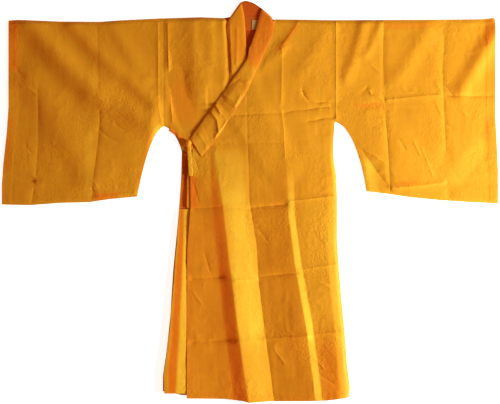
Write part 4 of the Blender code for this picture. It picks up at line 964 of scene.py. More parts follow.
def weave_group():
    """Plain weave with slubs: how light each thread is, and how far it stands out."""
    name = "Plain Weave"
    if name in bpy.data.node_groups:
        return bpy.data.node_groups[name]
    tree = bpy.data.node_groups.new(name, "ShaderNodeTree")
    for label, default in (("Threads per Metre", 1100.0), ("Slub", 0.5)):
        socket = tree.interface.new_socket(label, in_out="INPUT", socket_type="NodeSocketFloat")
        socket.default_value = default
    for label in ("Tone", "Height"):
        tree.interface.new_socket(label, in_out="OUTPUT", socket_type="NodeSocketFloat")
    link = tree.links.new
    entry, leave = new_node(tree, "NodeGroupInput"), new_node(tree, "NodeGroupOutput")
    place = new_node(tree, "ShaderNodeTexCoord")
    scale = new_node(tree, "ShaderNodeMath", operation="MULTIPLY", inputs={1: math.pi / 10})
    link(entry.outputs["Threads per Metre"], scale.inputs[0])
    waves = []
    for direction in ("X", "Y"):
        wave = new_node(tree, "ShaderNodeTexWave", bands_direction=direction, inputs={"Distortion": 0.6, "Detail": 1.0})
        link(place.outputs["Object"], wave.inputs["Vector"])
        link(scale.outputs[0], wave.inputs["Scale"])
        waves.append(wave)
    threads = new_node(tree, "ShaderNodeMath", operation="ADD")
    link(waves[0].outputs["Fac"], threads.inputs[0])
    link(waves[1].outputs["Fac"], threads.inputs[1])
    slubs = []
    for stretch in ((420.0, 26.0, 1.0), (26.0, 420.0, 1.0)):
        mapping = new_node(tree, "ShaderNodeMapping", inputs={"Scale": stretch})
        noise = new_node(tree, "ShaderNodeTexNoise", inputs={"Scale": 1.0, "Detail": 3.0, "Roughness": 0.6})
        link(place.outputs["Object"], mapping.inputs["Vector"])
        link(mapping.outputs[0], noise.inputs["Vector"])
        slubs.append(noise)
    slub = new_node(tree, "ShaderNodeMix", inputs={"Factor": 0.4})
    link(slubs[0].outputs["Fac"], slub.inputs[2])
    link(slubs[1].outputs["Fac"], slub.inputs[3])
    centred = new_node(tree, "ShaderNodeMath", operation="SUBTRACT", inputs={1: 0.5})
    link(slub.outputs[0], centred.inputs[0])
    strength = new_node(tree, "ShaderNodeMath", operation="MULTIPLY")
    link(centred.outputs[0], strength.inputs[0])
    link(entry.outputs["Slub"], strength.inputs[1])
    tone = new_node(tree, "ShaderNodeMath", operation="ADD", inputs={1: 1.0})
    link(strength.outputs[0], tone.inputs[0])
    thread_height = new_node(tree, "ShaderNodeMath", operation="MULTIPLY_ADD", inputs={1: 0.25, 2: 0.0})
    link(threads.outputs[0], thread_height.inputs[0])
    height = new_node(tree, "ShaderNodeMath", operation="ADD")
    link(thread_height.outputs[0], height.inputs[0])
    link(strength.outputs[0], height.inputs[1])
    link(tone.outputs[0], leave.inputs["Tone"])
    link(height.outputs[0], leave.inputs["Height"])
    return tree


def wear_group():
    """Uneven dye and handling: a slow change of tone, and light rubbing along sharp creases."""
    name = "Dye and Wear"
    if name in bpy.data.node_groups:
        return bpy.data.node_groups[name]
    tree = bpy.data.node_groups.new(name, "ShaderNodeTree")
    for label, default in (("Unevenness", 0.12), ("Rubbing", 0.3)):
        socket = tree.interface.new_socket(label, in_out="INPUT", socket_type="NodeSocketFloat")
        socket.default_value = default
    for label in ("Tone", "Rubbed", "Wrinkle"):
        tree.interface.new_socket(label, in_out="OUTPUT", socket_type="NodeSocketFloat")
    link = tree.links.new
    entry, leave = new_node(tree, "NodeGroupInput"), new_node(tree, "NodeGroupOutput")
    place = new_node(tree, "ShaderNodeTexCoord")
    broad = new_node(tree, "ShaderNodeTexNoise", inputs={"Scale": 5.0, "Detail": 4.0, "Roughness": 0.55})
    link(place.outputs["Object"], broad.inputs["Vector"])
    centred = new_node(tree, "ShaderNodeMath", operation="SUBTRACT", inputs={1: 0.5})
    link(broad.outputs["Fac"], centred.inputs[0])
    strength = new_node(tree, "ShaderNodeMath", operation="MULTIPLY")
    link(centred.outputs[0], strength.inputs[0])
    link(entry.outputs["Unevenness"], strength.inputs[1])
    total = strength
    for stretch, share in (((120.0, 9.0, 1.0), 0.16), ((34.0, 42.0, 1.0), 0.12), ((300.0, 60.0, 1.0), 0.1)):
        mapping = new_node(tree, "ShaderNodeMapping", inputs={"Scale": stretch})
        noise = new_node(tree, "ShaderNodeTexNoise", inputs={"Scale": 1.0, "Detail": 2.0, "Roughness": 0.6})
        link(place.outputs["Object"], mapping.inputs["Vector"])
        link(mapping.outputs[0], noise.inputs["Vector"])
        middle = new_node(tree, "ShaderNodeMath", operation="SUBTRACT", inputs={1: 0.5})
        link(noise.outputs["Fac"], middle.inputs[0])
        added = new_node(tree, "ShaderNodeMath", operation="MULTIPLY_ADD", inputs={1: share})
        link(middle.outputs[0], added.inputs[0])
        link(total.outputs[0], added.inputs[2])
        total = added
    tone = new_node(tree, "ShaderNodeMath", operation="ADD", inputs={1: 1.0})
    link(total.outputs[0], tone.inputs[0])
    shape = new_node(tree, "ShaderNodeNewGeometry")
    sharp = new_node(tree, "ShaderNodeMapRange", inputs={"From Min": 0.51, "From Max": 0.6})
    link(shape.outputs["Pointiness"], sharp.inputs["Value"])
    rubbed = new_node(tree, "ShaderNodeMath", operation="MULTIPLY")
    link(sharp.outputs["Result"], rubbed.inputs[0])
    link(entry.outputs["Rubbing"], rubbed.inputs[1])
    crinkle = new_node(tree, "ShaderNodeTexNoise", inputs={
        "Scale": 62.0, "Detail": 3.0, "Roughness": 0.55, "Distortion": 0.6})
    link(place.outputs["Object"], crinkle.inputs["Vector"])
    crinkle_centred = new_node(tree, "ShaderNodeMath", operation="SUBTRACT", inputs={1: 0.5})
    link(crinkle.outputs["Fac"], crinkle_centred.inputs[0])
    folded = new_node(tree, "ShaderNodeMath", operation="ABSOLUTE")
    link(crinkle_centred.outputs[0], folded.inputs[0])
    ridge = new_node(tree, "ShaderNodeMapRange", inputs={"From Min": 0.0, "From Max": 0.12, "To Min": 1.0, "To Max": 0.0})
    link(folded.outputs[0], ridge.inputs["Value"])
    patches = new_node(tree, "ShaderNodeMapRange", inputs={"From Min": 0.4, "From Max": 0.7})
    link(broad.outputs["Fac"], patches.inputs["Value"])
    wrinkle = new_node(tree, "ShaderNodeMath", operation="MULTIPLY")
    link(ridge.outputs["Result"], wrinkle.inputs[0])
    link(patches.outputs["Result"], wrinkle.inputs[1])
    link(tone.outputs[0], leave.inputs["Tone"])
    link(rubbed.outputs[0], leave.inputs["Rubbed"])
    link(wrinkle.outputs[0], leave.inputs["Wrinkle"])
    return tree


def cloth_material(name, colour, flank_colour=None, painted_inside_shade_colour=None, painted_light_colour=None, threads=1100.0, slub=0.22,
                   sheen=0.08, roughness=0.68, bump=0.35):
    """Woven cloth, with painted shade on the flanks of its folds and inside the garment, and painted light on sides
    that face the light.
    """
    if name in bpy.data.materials:
        return bpy.data.materials[name]
    made = bpy.data.materials.new(name)
    made.use_nodes = True
    tree = made.node_tree
    link = tree.links.new
    shader = tree.nodes["Principled BSDF"]
    weave = new_node(tree, "ShaderNodeGroup", node_tree=weave_group())
    weave.inputs["Threads per Metre"].default_value = threads
    weave.inputs["Slub"].default_value = slub
    wear = new_node(tree, "ShaderNodeGroup", node_tree=wear_group())
    ground = new_node(tree, "ShaderNodeRGB")
    ground.outputs[0].default_value = (*colour, 1.0)
    current = ground.outputs[0]
    # Painted shade and painted light: the fold-flank, light and inside attributes mix in their colours
    for attribute, deep in (("flank", flank_colour), ("light", painted_light_colour), ("inside", painted_inside_shade_colour)):
        if deep is None:
            continue
        reader = new_node(tree, "ShaderNodeAttribute", attribute_name=attribute)
        mix = new_node(tree, "ShaderNodeMix", data_type="RGBA")
        link(reader.outputs["Fac"], mix.inputs["Factor"])
        link(current, mix.inputs[6])
        mix.inputs[7].default_value = (*deep, 1.0)
        current = mix.outputs[2]
    rub = new_node(tree, "ShaderNodeMix", data_type="RGBA")
    link(wear.outputs["Rubbed"], rub.inputs["Factor"])
    link(current, rub.inputs[6])
    rub.inputs[7].default_value = (min(colour[0] * 1.06, 1.0), colour[1] * 1.35, colour[2] * 2.2, 1.0)
    tones = new_node(tree, "ShaderNodeMath", operation="MULTIPLY")
    link(weave.outputs["Tone"], tones.inputs[0])
    link(wear.outputs["Tone"], tones.inputs[1])
    shaded = new_node(tree, "ShaderNodeVectorMath", operation="SCALE")
    link(rub.outputs[2], shaded.inputs[0])
    link(tones.outputs[0], shaded.inputs["Scale"])
    link(shaded.outputs[0], shader.inputs["Base Color"])
    gloss = new_node(tree, "ShaderNodeMapRange", inputs={"To Min": roughness - 0.08, "To Max": roughness + 0.1})
    link(weave.outputs["Height"], gloss.inputs["Value"])
    link(gloss.outputs["Result"], shader.inputs["Roughness"])
    coarse = new_node(tree, "ShaderNodeBump", inputs={"Strength": 0.5, "Distance": 0.0012})
    link(wear.outputs["Wrinkle"], coarse.inputs["Height"])
    relief = new_node(tree, "ShaderNodeBump", inputs={"Strength": bump, "Distance": 0.0006})
    link(weave.outputs["Height"], relief.inputs["Height"])
    link(coarse.outputs["Normal"], relief.inputs["Normal"])
    link(relief.outputs["Normal"], shader.inputs["Normal"])
    shader.inputs["Sheen Weight"].default_value = sheen
    shader.inputs["Sheen Roughness"].default_value = 0.45
    shader.inputs["Sheen Tint"].default_value = (1.0, 0.72, 0.3, 1.0)
    shader.inputs["Specular IOR Level"].default_value = 0.12
    return made


def gold_cloth():
    colours = bpy.context.scene.robe_colours
    return cloth_material("gold cloth", tuple(colours.gold), tuple(colours.flank), tuple(colours.inside),
                          tuple(colours.light))


def collar_cloth():
    colours = bpy.context.scene.robe_colours
    return cloth_material("collar cloth", tuple(colours.collar), tuple(colours.flank), tuple(colours.inside),
                          tuple(colours.light), slub=0.16)


def thread_finish():
    colours = bpy.context.scene.robe_colours
    return cloth_material("sewing thread", tuple(colours.thread), threads=2400.0, slub=0.3, sheen=0.1, roughness=0.5)


# Sizes, colours and lights that a user may change

class RobeSizes(bpy.types.PropertyGroup):
    mesh_spacing: bpy.props.FloatProperty(
        name="Mesh Spacing", description="Distance between the points of the cloth", default=0.006, min=0.003,
        max=0.03, unit="LENGTH")
    crease_strength: bpy.props.FloatProperty(
        name="Crease Strength", description="How far the pressed creases stand out", default=1.0, min=0.0, max=2.0,
        subtype="FACTOR")
    fold_strength: bpy.props.FloatProperty(
        name="Fold Strength", description="How deep the soft folds are", default=1.0, min=0.0, max=2.0,
        subtype="FACTOR")
    stitch_length: bpy.props.FloatProperty(
        name="Stitch Length", description="Length of one stitch", default=0.0032, min=0.001, max=0.01, unit="LENGTH")
    stitch_gap: bpy.props.FloatProperty(
        name="Stitch Gap", description="Gap between two stitches", default=0.0012, min=0.0005, max=0.01,
        unit="LENGTH")
    stitch_width: bpy.props.FloatProperty(
        name="Stitch Width", description="Thickness of the sewing thread", default=0.0007, min=0.0003, max=0.002,
        unit="LENGTH")


class RobeColours(bpy.types.PropertyGroup):
    gold: bpy.props.FloatVectorProperty(
        name="Gold", description="Colour of the cloth", default=(0.73, 0.268, 0.007), subtype="COLOR", min=0.0, max=1.0)
    light: bpy.props.FloatVectorProperty(
        name="Light Side", description="Lighter colour of the sides that face the light", default=(0.84, 0.4, 0.02),
        subtype="COLOR", min=0.0, max=1.0)
    # Painted shade: the colour given to fold flanks that face away from the light
    flank: bpy.props.FloatVectorProperty(
        name="Fold Flank", description="Deeper colour of the flanks of the folds", default=(0.84, 0.165, 0.004),
        subtype="COLOR", min=0.0, max=1.0)
    # Painted shade: the colour given to the garment's inner side where it lies in shade
    inside: bpy.props.FloatVectorProperty(
        name="Inside", description="Colour inside the garment", default=(0.54, 0.068, 0.003), subtype="COLOR",
        min=0.0, max=1.0)
    collar: bpy.props.FloatVectorProperty(
        name="Collar", description="Colour of the collar band", default=(0.74, 0.252, 0.006), subtype="COLOR",
        min=0.0, max=1.0)
    label: bpy.props.FloatVectorProperty(
        name="Label", description="Colour of the blank label", default=(0.5, 0.28, 0.1), subtype="COLOR", min=0.0,
        max=1.0)
    thread: bpy.props.FloatVectorProperty(
        name="Thread", description="Colour of the sewing thread", default=(0.8, 0.24, 0.008), subtype="COLOR",
        min=0.0, max=1.0)


class RobeStudio(bpy.types.PropertyGroup):
    key_power: bpy.props.FloatProperty(
        name="Key Light", description="Power of the soft light from the right", default=336.0, min=0.0, unit="POWER")
    fill: bpy.props.FloatProperty(
        name="Fill Light", description="Strength of the warm light from all round", default=0.35, min=0.0, max=2.0,
        subtype="FACTOR")
    floor_glow: bpy.props.FloatProperty(
        name="Floor Glow", description="How much the pale floor is kept white", default=0.8, min=0.0, max=1.0,
        subtype="FACTOR")


# Pieces

CREASE_LINES = [row["line"] for row in CREASES + CRUMPLES]


def pleat_lines():
    """The lines that the pleats' ridges draw."""
    return [
        tuple((row["ridge_1"], row["y"]) for row in PLEATS),
        tuple((row["ridge_2"], row["y"]) for row in PLEATS),
        tuple((row["ridge_2"] + CREST_WIDTH, row["y"]) for row in PLEATS),
    ]


class ROBE_OT_back(bpy.types.Operator):
    """Lays the back panel on the floor, its inner side up"""

    bl_idname = "robe.back"
    bl_label = "Back"

    def execute(self, context):
        outline = joined(
            shifted(SHOULDER_RIGHT_BODY, dx=SEAM_GAP)[:1], SHOULDER_RIGHT_BODY[1:2], BACK_NECK,
            SHOULDER_LEFT_BODY[1:2], shifted(SHOULDER_LEFT_BODY, dx=-SEAM_GAP)[-1:],
            shifted(LEFT_SIDE[:1], dx=-SEAM_GAP), LEFT_SIDE[1:-1], BACK_HEM[::-1], RIGHT_SIDE[::-1],
            cubic(RIGHT_ARMPIT_CURVE)[-2:0:-1], shifted(RIGHT_ARMPIT_CURVE[:1], dx=SEAM_GAP),
        )
        piece = cloth_panel("back_panel", outline, back_height, gold_cloth(),
                            spacing=1.0, thickness=CLOTH - 0.05, nodes=("back",))
        # Painted shade on the back where it shows in the gap beside the overlap, and on its inner side
        set_painted_shade(piece, inside=back_painted_shade, painted_shade_and_light=lambda x, y: 1.0 * (x < -18.0) * (y > -4.0))
        return {"FINISHED"}


class ROBE_OT_fronts(bpy.types.Operator):
    """Lays the right front, and the left front with its overlap crossed over it"""

    bl_idname = "robe.fronts"
    bl_label = "Fronts"

    def execute(self, context):
        finish = gold_cloth()
        self.add_right_front(finish)
        self.add_left_front(finish)
        self.add_overlap(finish)
        return {"FINISHED"}

    def add_right_front(self, finish):
        outline = joined(
            shifted(SHOULDER_RIGHT_BODY, dx=SEAM_GAP)[:1], SHOULDER_RIGHT_BODY[1:], UNDERLAP_NECK[1:],
            UNDERLAP_HIDDEN_EDGE[1:],
            UNDERLAP_SIDE,
            cubic(RIGHT_ARMPIT_CURVE)[-2:0:-1], shifted(RIGHT_ARMPIT_CURVE[:1], dx=SEAM_GAP),
        )
        piece = cloth_panel("right_front_panel", outline, right_front_height, finish, CREASE_LINES,
                            nodes=("right_front",))
        set_painted_shade(piece, inside=underlap_painted_shade, painted_shade_and_light=sleeve_painted_shade)

    def add_left_front(self, finish):
        outline = joined(
            LEFT_FRONT_NECK[::-1], SHOULDER_LEFT_BODY[1:-1], shifted(SHOULDER_LEFT_BODY, dx=-SEAM_GAP)[-1:],
            shifted(LEFT_SIDE[:1], dx=-SEAM_GAP), LEFT_SIDE[1:], LEFT_FRONT_HEM[::-1], CENTRE_SEAM[::-1],
        )
        piece = cloth_panel("left_front_panel", outline, left_front_height, finish,
                            pleat_lines() + CREASE_LINES, nodes=("left_front",))
        set_painted_shade(piece, painted_shade_and_light=pleat_painted_shade)
        hem = inset_line(LEFT_FRONT_HEM, HEM_DEPTH)
        rows = stitches("left_front_stitches", [hem], lambda x, y: left_front_height(x, y) + CLOTH, thread_finish())

    def add_overlap(self, finish):
        outline = joined(
            shifted(CENTRE_SEAM, dx=-SEAM_GAP)[1:], OVERLAP_HEM[-2::-1], OVERLAP_EDGE[::-1],
            OVERLAP_DIAGONAL[::-1][:-1], ((CENTRE_SEAM[0][0] - SEAM_GAP, CENTRE_SEAM[0][1] - SEAM_GAP * 2),),
        )
        piece = cloth_panel("overlap_panel", outline, left_front_height, finish,
                            pleat_lines() + CREASE_LINES, nodes=("overlap",))
        set_painted_shade(piece, painted_shade_and_light=pleat_painted_shade)
        hem = inset_line(OVERLAP_HEM, HEM_DEPTH)
        edge = inset_line(OVERLAP_EDGE[1:], 1.1)
        rows = stitches("overlap_stitches", [hem, edge], lambda x, y: left_front_height(x, y) + CLOTH, thread_finish())


class ROBE_OT_sleeves(bpy.types.Operator):
    """Lays the two wide sleeves, each a flat tube that is open at the cuff"""

    bl_idname = "robe.sleeves"
    bl_label = "Sleeves"

    def execute(self, context):
        finish = gold_cloth()
        right_outline = joined(
            SHOULDER_RIGHT, cubic(RIGHT_SLEEVE_CURVE)[::-1], RIGHT_SLEEVE_LOWER[::-1], RIGHT_CUFF[::-1],
        )
        left_outline = joined(SHOULDER_LEFT, LEFT_CUFF, LEFT_SLEEVE_LOWER, cubic(LEFT_SLEEVE_CURVE))
        for name, outline, cuff, seam, closed in (
            ("right", right_outline, RIGHT_CUFF, ((RIGHT_SEAM_X, 66.4), (RIGHT_SEAM_X, 27.3)), RIGHT_CLOSED),
            ("left", left_outline, LEFT_CUFF, ((LEFT_SEAM_X, 65.7), (LEFT_SEAM_X, 28.9)), LEFT_CLOSED),
        ):
            height = sleeve_height(closed)
            piece = sleeve(f"{name}_sleeve_tube", outline, (cuff, seam), height, finish, CREASE_LINES)
            set_painted_shade(piece, painted_shade_and_light=sleeve_painted_shade)
            side = -1.0 if name == "left" else 1.0
            row = inset_line(cuff[:1] + tuple((x, y) for x, y in cuff[1:]), CUFF_HEM_DEPTH * side)
            rows = stitches(f"{name}_cuff_stitches", [row], lambda x, y, h=height: h(x, y) + CLOTH, thread_finish(),
                            inset=1.2)
        return {"FINISHED"}


def blend_row(first, last, share, before, after):
    """A collar section between two listed ones, on a curve through them and their neighbours."""
    def through(a, b, c, d):
        return b + 0.5 * share * (c - a + share * (2 * a - 5 * b + 4 * c - d + share * (3 * (b - c) + d - a)))

    row = {"turn": first["turn"] + share * (last["turn"] - first["turn"])}
    for edge in ("free", "seam"):
        row[edge] = tuple(through(before[edge][axis], first[edge][axis], last[edge][axis], after[edge][axis])
                          for axis in (0, 1))
    row["height"] = [(first, 1.0 - share), (last, share)]
    return row


def collar_rows():
    rows = []
    for index in range(len(COLLAR_SECTIONS) - 1):
        first, last = COLLAR_SECTIONS[index], COLLAR_SECTIONS[index + 1]
        before, after = first, last
        if first["turn"] == last["turn"]:
            if index > 0 and COLLAR_SECTIONS[index - 1]["turn"] == first["turn"]:
                before = COLLAR_SECTIONS[index - 1]
            if index + 2 < len(COLLAR_SECTIONS) and COLLAR_SECTIONS[index + 2]["turn"] == last["turn"]:
                after = COLLAR_SECTIONS[index + 2]
        length = max(math.dist(first[edge], last[edge]) for edge in ("free", "seam"))
        steps = max(3, math.ceil(length / COLLAR_STEP))
        for step in range(steps):
            rows.append(blend_row(first, last, step / steps, before, after))
    last = COLLAR_SECTIONS[-1]
    rows.append(blend_row(last, last, 0.0, last, last))
    return rows


def collar_base(layer, x, y, share):
    """Height of the top of what the collar lies on, for a share of its width from the free edge."""
    if layer == "floor":
        return np.zeros(np.shape(x))
    under = SEAM_Z + UNDERLAP_RISE + UNDERLAP_PLEAT_SHARE * pleats(x, y) + CLOTH
    if layer == "under":
        return under
    over = SEAM_Z + OVERLAP_RISE + over_hidden_collar(x, y) + pleats(x, y) + CLOTH
    crossed = smooth_step((y - COLLAR_CROSSING_Y) / COLLAR_CROSSING_FADE)
    on_overlap = np.maximum(0.25 + 0.75 * smooth_step(share / OVERLAP_UNDER_BAND_FROM), crossed)
    return under + on_overlap * (over - under)


def collar_relief(x, y, share):
    """The collar's crumples and unevenness, less at its edges."""
    bumpy = 0.35 * bumps(x, y, 3.0, 3.5, 61) + 0.35 * np.abs(bumps(x, y, 1.6, 2.0, 67))
    held = 1.0 - 0.8 * (2.0 * share - 1.0) ** 8
    arch = COLLAR_ARCH * (1.0 - (2.0 * share - 1.0) ** 4)
    sunk = COLLAR_SUNK * (1.0 - share) * smooth_step((y - 51.0) / 4.0) * smooth_step((x + 0.5) / 1.0)
    return held * np.maximum(arch + creased(COLLAR_CRUMPLES, x, y) + bumpy, -0.25) - sunk


def collar_section(row):
    """The loop round one section of the collar: its outer face, then its inner face back."""
    (free_x, free_y), (seam_x, seam_y) = row["free"], row["seam"]
    across = Vector((seam_x - free_x, seam_y - free_y, 0.0)).normalized()
    outward = Vector((-across.y, across.x, 0.0))
    if outward.x * (free_x - (FACING["left"] + FACING["right"]) / 2) < 0:
        outward.negate()
    turn = math.radians(row["turn"])
    normal = np.array(Vector((0, 0, 1)) * math.cos(turn) + outward * math.sin(turn))
    share = (1.0 - np.cos(np.linspace(0.0, math.pi, COLLAR_ACROSS + 1))) / 2
    x, y = free_x + share * (seam_x - free_x), free_y + share * (seam_y - free_y)
    height = sum(weight * (collar_base(end["layer"], x, y, share) + end["lift"]) for end, weight in row["height"])
    lying = math.cos(turn) ** 2 if row["turn"] <= 90 else 0.0
    half = COLLAR / 2 * (1.0 - (2.0 * share - 1.0) ** 10 * 0.6)
    height = height + lying * collar_relief(x, y, share) - (COLLAR / 2 - half)
    middle = np.column_stack((x * CM, y * CM, height * MM))
    width = math.dist(row["free"], row["seam"])
    for place in (0.45, width - 0.6):
        half = half - 0.22 * np.exp(-(((share * width - place) / 0.14) ** 2))
    outer = middle + normal * half[:, None] * MM
    inner = middle - normal * half[:, None] * MM
    return np.vstack((outer, inner[::-1]))


class ROBE_OT_collar(bpy.types.Operator):
    """Sews the collar band round the neck and down the crossed front"""

    bl_idname = "robe.collar"
    bl_label = "Collar"

    def execute(self, context):
        rows = collar_rows()
        sections = [collar_section(row) for row in rows]
        piece = loft("collar_band", sections, collar_cloth(), ("collar",))
        set_painted_shade(piece, painted_shade_and_light=self.painted_shade_and_light)
        size = len(sections[0])
        places = np.array([vertex.co[:2] for vertex in piece.data.vertices]) / CM
        # Painted shade: by the neck, towards the seam edge of the outer face, and on the inner face and where the band
        # turns over
        inside = 0.22 * smooth_step((places[:, 1] - 49.0) / 4.0) * smooth_step((places[:, 0] + 1.0) / 1.5)
        for index, row in enumerate(rows):
            first = index * size
            inside[first + size // 2 - 8:first + size // 2] += np.linspace(0.05, 0.45, 8)
            inside[first + size // 2:first + size] = 0.9
            if row["turn"] > 60:
                inside[first:first + size] = 0.9
        piece.data.attributes["inside"].data.foreach_set("value", inside)
        lines, surfaces = [], []
        for start, end, layer in ((4, 8, "under"), (16, 25, "over")):
            chosen = [COLLAR_SECTIONS[index] for index in range(start, end + 1)]
            for share in (0.075, 0.9):
                lines.append((tuple(self.across(row, share) for row in chosen), layer, share))
        for index, (line, layer, share) in enumerate(lines):
            lift = 1.2 + COLLAR / 2 - 0.1
            surface = lambda x, y, which=layer, at=share: collar_base(which, x, y, at) + lift + collar_relief(x, y, at)
            stitches(f"collar_stitches_{index + 1}", [spaced(line, 0.5)], surface, thread_finish())
        return {"FINISHED"}

    @staticmethod
    def across(row, share):
        return tuple(a + share * (b - a) for a, b in zip(row["free"], row["seam"]))

    @staticmethod
    def painted_shade_and_light(x, y):
        """Painted light on the band over the chest and painted shade by the neck, most right of the V, with some random
        tone.
        """
        by_neck = smooth_step((y - 47.0) / 5.0)
        return -0.2 + 0.35 * by_neck + 0.35 * by_neck * smooth_step((x + 1.5) / 1.5) + 0.2 * bumps(x, y, 4.0, 4.0, 69)


def rectangle(sides):
    return ((sides["left"], sides["bottom"]), (sides["right"], sides["bottom"]),
            (sides["right"], sides["top"]), (sides["left"], sides["top"]))


class ROBE_OT_neck(bpy.types.Operator):
    """Sews the facing strip and its blank label inside the back of the neck"""

    bl_idname = "robe.neck"
    bl_label = "Neck Facing and Label"

    def execute(self, context):
        colours = context.scene.robe_colours
        facing_z = SEAM_Z
        label_z = facing_z + TRIM + LAYER_GAP
        # The facing's colour is mostly the painted inside shade, with a little of the collar's colour
        facing_finish = cloth_material("facing cloth", tuple(Vector(colours.inside) * 0.85 + Vector(colours.collar) * 0.15))
        facing = cloth_panel("neck_facing", rectangle(FACING), lambda x, y: facing_z + 0.1 * bumps(x, y, 1.0, 1.5, 71),
                             facing_finish, spacing=0.3, thickness=TRIM - 0.1, nodes=("back_neck_facing",))
        edge = {"left": FACING["left"] + 0.3, "right": FACING["right"] - 0.3, "bottom": FACING["bottom"] + 0.3,
                "top": FACING["top"] - 0.3}
        rows = stitches("facing_stitches", [rectangle(edge)[:2], rectangle(edge)[2:]],
                        lambda x, y: facing_z + TRIM - 0.1 + 0.1 * bumps(x, y, 1.0, 1.5, 71), thread_finish())
        label_finish = cloth_material("label tape", tuple(colours.label), threads=1800.0, slub=0.1, sheen=0.05)
        label = cloth_panel("blank_label", rectangle(LABEL), lambda x, y: label_z + 0.15 * bumps(x, y, 1.2, 1.2, 73),
                            label_finish, spacing=0.25, thickness=TRIM - 0.3, nodes=("neck_label",))
        edge = {"left": LABEL["left"] + 0.2, "right": LABEL["right"] - 0.2, "bottom": LABEL["bottom"] + 0.2,
                "top": LABEL["top"] - 0.2}
        corners = rectangle(edge)
        rows = stitches("label_stitches", [corners + corners[:1]],
                        lambda x, y: label_z + TRIM - 0.3 + 0.15 * bumps(x, y, 1.2, 1.2, 73), thread_finish())
        return {"FINISHED"}


class ROBE_OT_side_pleat(bpy.types.Operator):
    """Adds the pleated gusset that shows beside the overlap under the tied side"""

    bl_idname = "robe.side_pleat"
    bl_label = "Side Pleat"

    def execute(self, context):
        inner_x = UNDERLAP_SIDE_X - SEAM_GAP * 2
        top, bottom = GUSSET[0]["y"], GUSSET[-1]["y"]
        rows = np.linspace(top, bottom, math.ceil((top - bottom) / 0.6) + 1)
        sections = []
        for y in rows:
            edge, fold, crest = (column(GUSSET, name, y) for name in ("edge", "fold", "crest"))
            wave = float(bumps(np.array(y), np.array(0.0), 5.0, 5.0, 81)) * 0.12
            edge_top, crest_top = column(GUSSET, "edge_top", y), column(GUSSET, "crest_top", y)
            beside = float(x_on(OVERLAP_EDGE, y))
            places = [np.array(v) for v in (edge + wave, fold + wave, crest, beside - 0.1, inner_x)]
            heights = [np.array(v) for v in (
                edge_top, crest_top * FOLD_TOP_SHARE, crest_top, crest_top * PLEAT_LEFT_AT_EDGE, 1.6)]
            x = np.linspace(float(places[0]), inner_x, 34)
            height = rounded_profile(places, heights, x) + 0.2 + 0.2 * bumps(x, np.full(x.shape, y), 1.4, 4.0, 83)
            nick = sum(math.exp(-abs(y - line_y) / 0.35) for line_y in SIDE_PLEAT_NICKS)
            height = height - 0.6 * nick
            height = SEAM_Z + np.maximum(height, 0.05)
            lower = np.column_stack((x * CM, np.full(x.shape, y) * CM, height * MM))
            upper = lower + np.array((0.0, 0.0, CLOTH * MM))
            sections.append(np.vstack((lower, upper[::-1])))
        piece = loft("side_pleat", sections, gold_cloth(), ("side_gusset",))
        set_painted_shade(piece, painted_shade_and_light=self.painted_shade_and_light)
        return {"FINISHED"}

    @staticmethod
    def painted_shade_and_light(x, y):
        """Painted shade from the fold to the crest, and painted light beyond that."""
        fold, crest = column(GUSSET, "fold", y), column(GUSSET, "crest", y)
        beyond = x - fold
        middle = 0.9 * (beyond > -0.2) * (1.0 - smooth_step((x - crest + 0.5) / 0.9))
        return middle - 0.8 * smooth_step((x - crest) / 0.9)


def tape(name, line, width, lower_height, finish, twist=0.0, pinch=1.0):
    """A soft folded tape along a line, rounded across, lying on a height function."""
    points = spaced(line, 0.25)
    total = len(points) - 1
    sections = []
    for index, (x, y) in enumerate(points):
        before, after = points[max(index - 2, 0)], points[min(index + 2, total)]
        length = math.dist(before, after)
        side = np.array(((before[1] - after[1]) / length, (after[0] - before[0]) / length))
        share = index / total
        half = width / 2 * (pinch + (1.0 - pinch) * smooth_step(share * 3.0))
        half = half * (1.0 + 0.06 * float(bumps(np.array(share * 9.0), np.array(0.0), 1.0, 1.0, 91)))
        low = float(lower_height(np.array(x), np.array(y)))
        loop = []
        for step in range(16):
            angle = 2 * math.pi * step / 16
            across = math.copysign(abs(math.cos(angle)) ** 0.6, math.cos(angle)) * half
            rise = math.copysign(abs(math.sin(angle)) ** 0.7, math.sin(angle)) * TRIM * 0.75
            rise += twist * math.sin(share * 14.0 + across * 2.2) * 0.45
            place = (x + side[0] * across, y + side[1] * across)
            loop.append((place[0] * CM, place[1] * CM, (low + TRIM * 0.75 + 0.1 + rise + twist * 0.45) * MM))
        sections.append(np.array(loop))
    return loft(name, sections, finish, (name.replace("_tape", ""),))


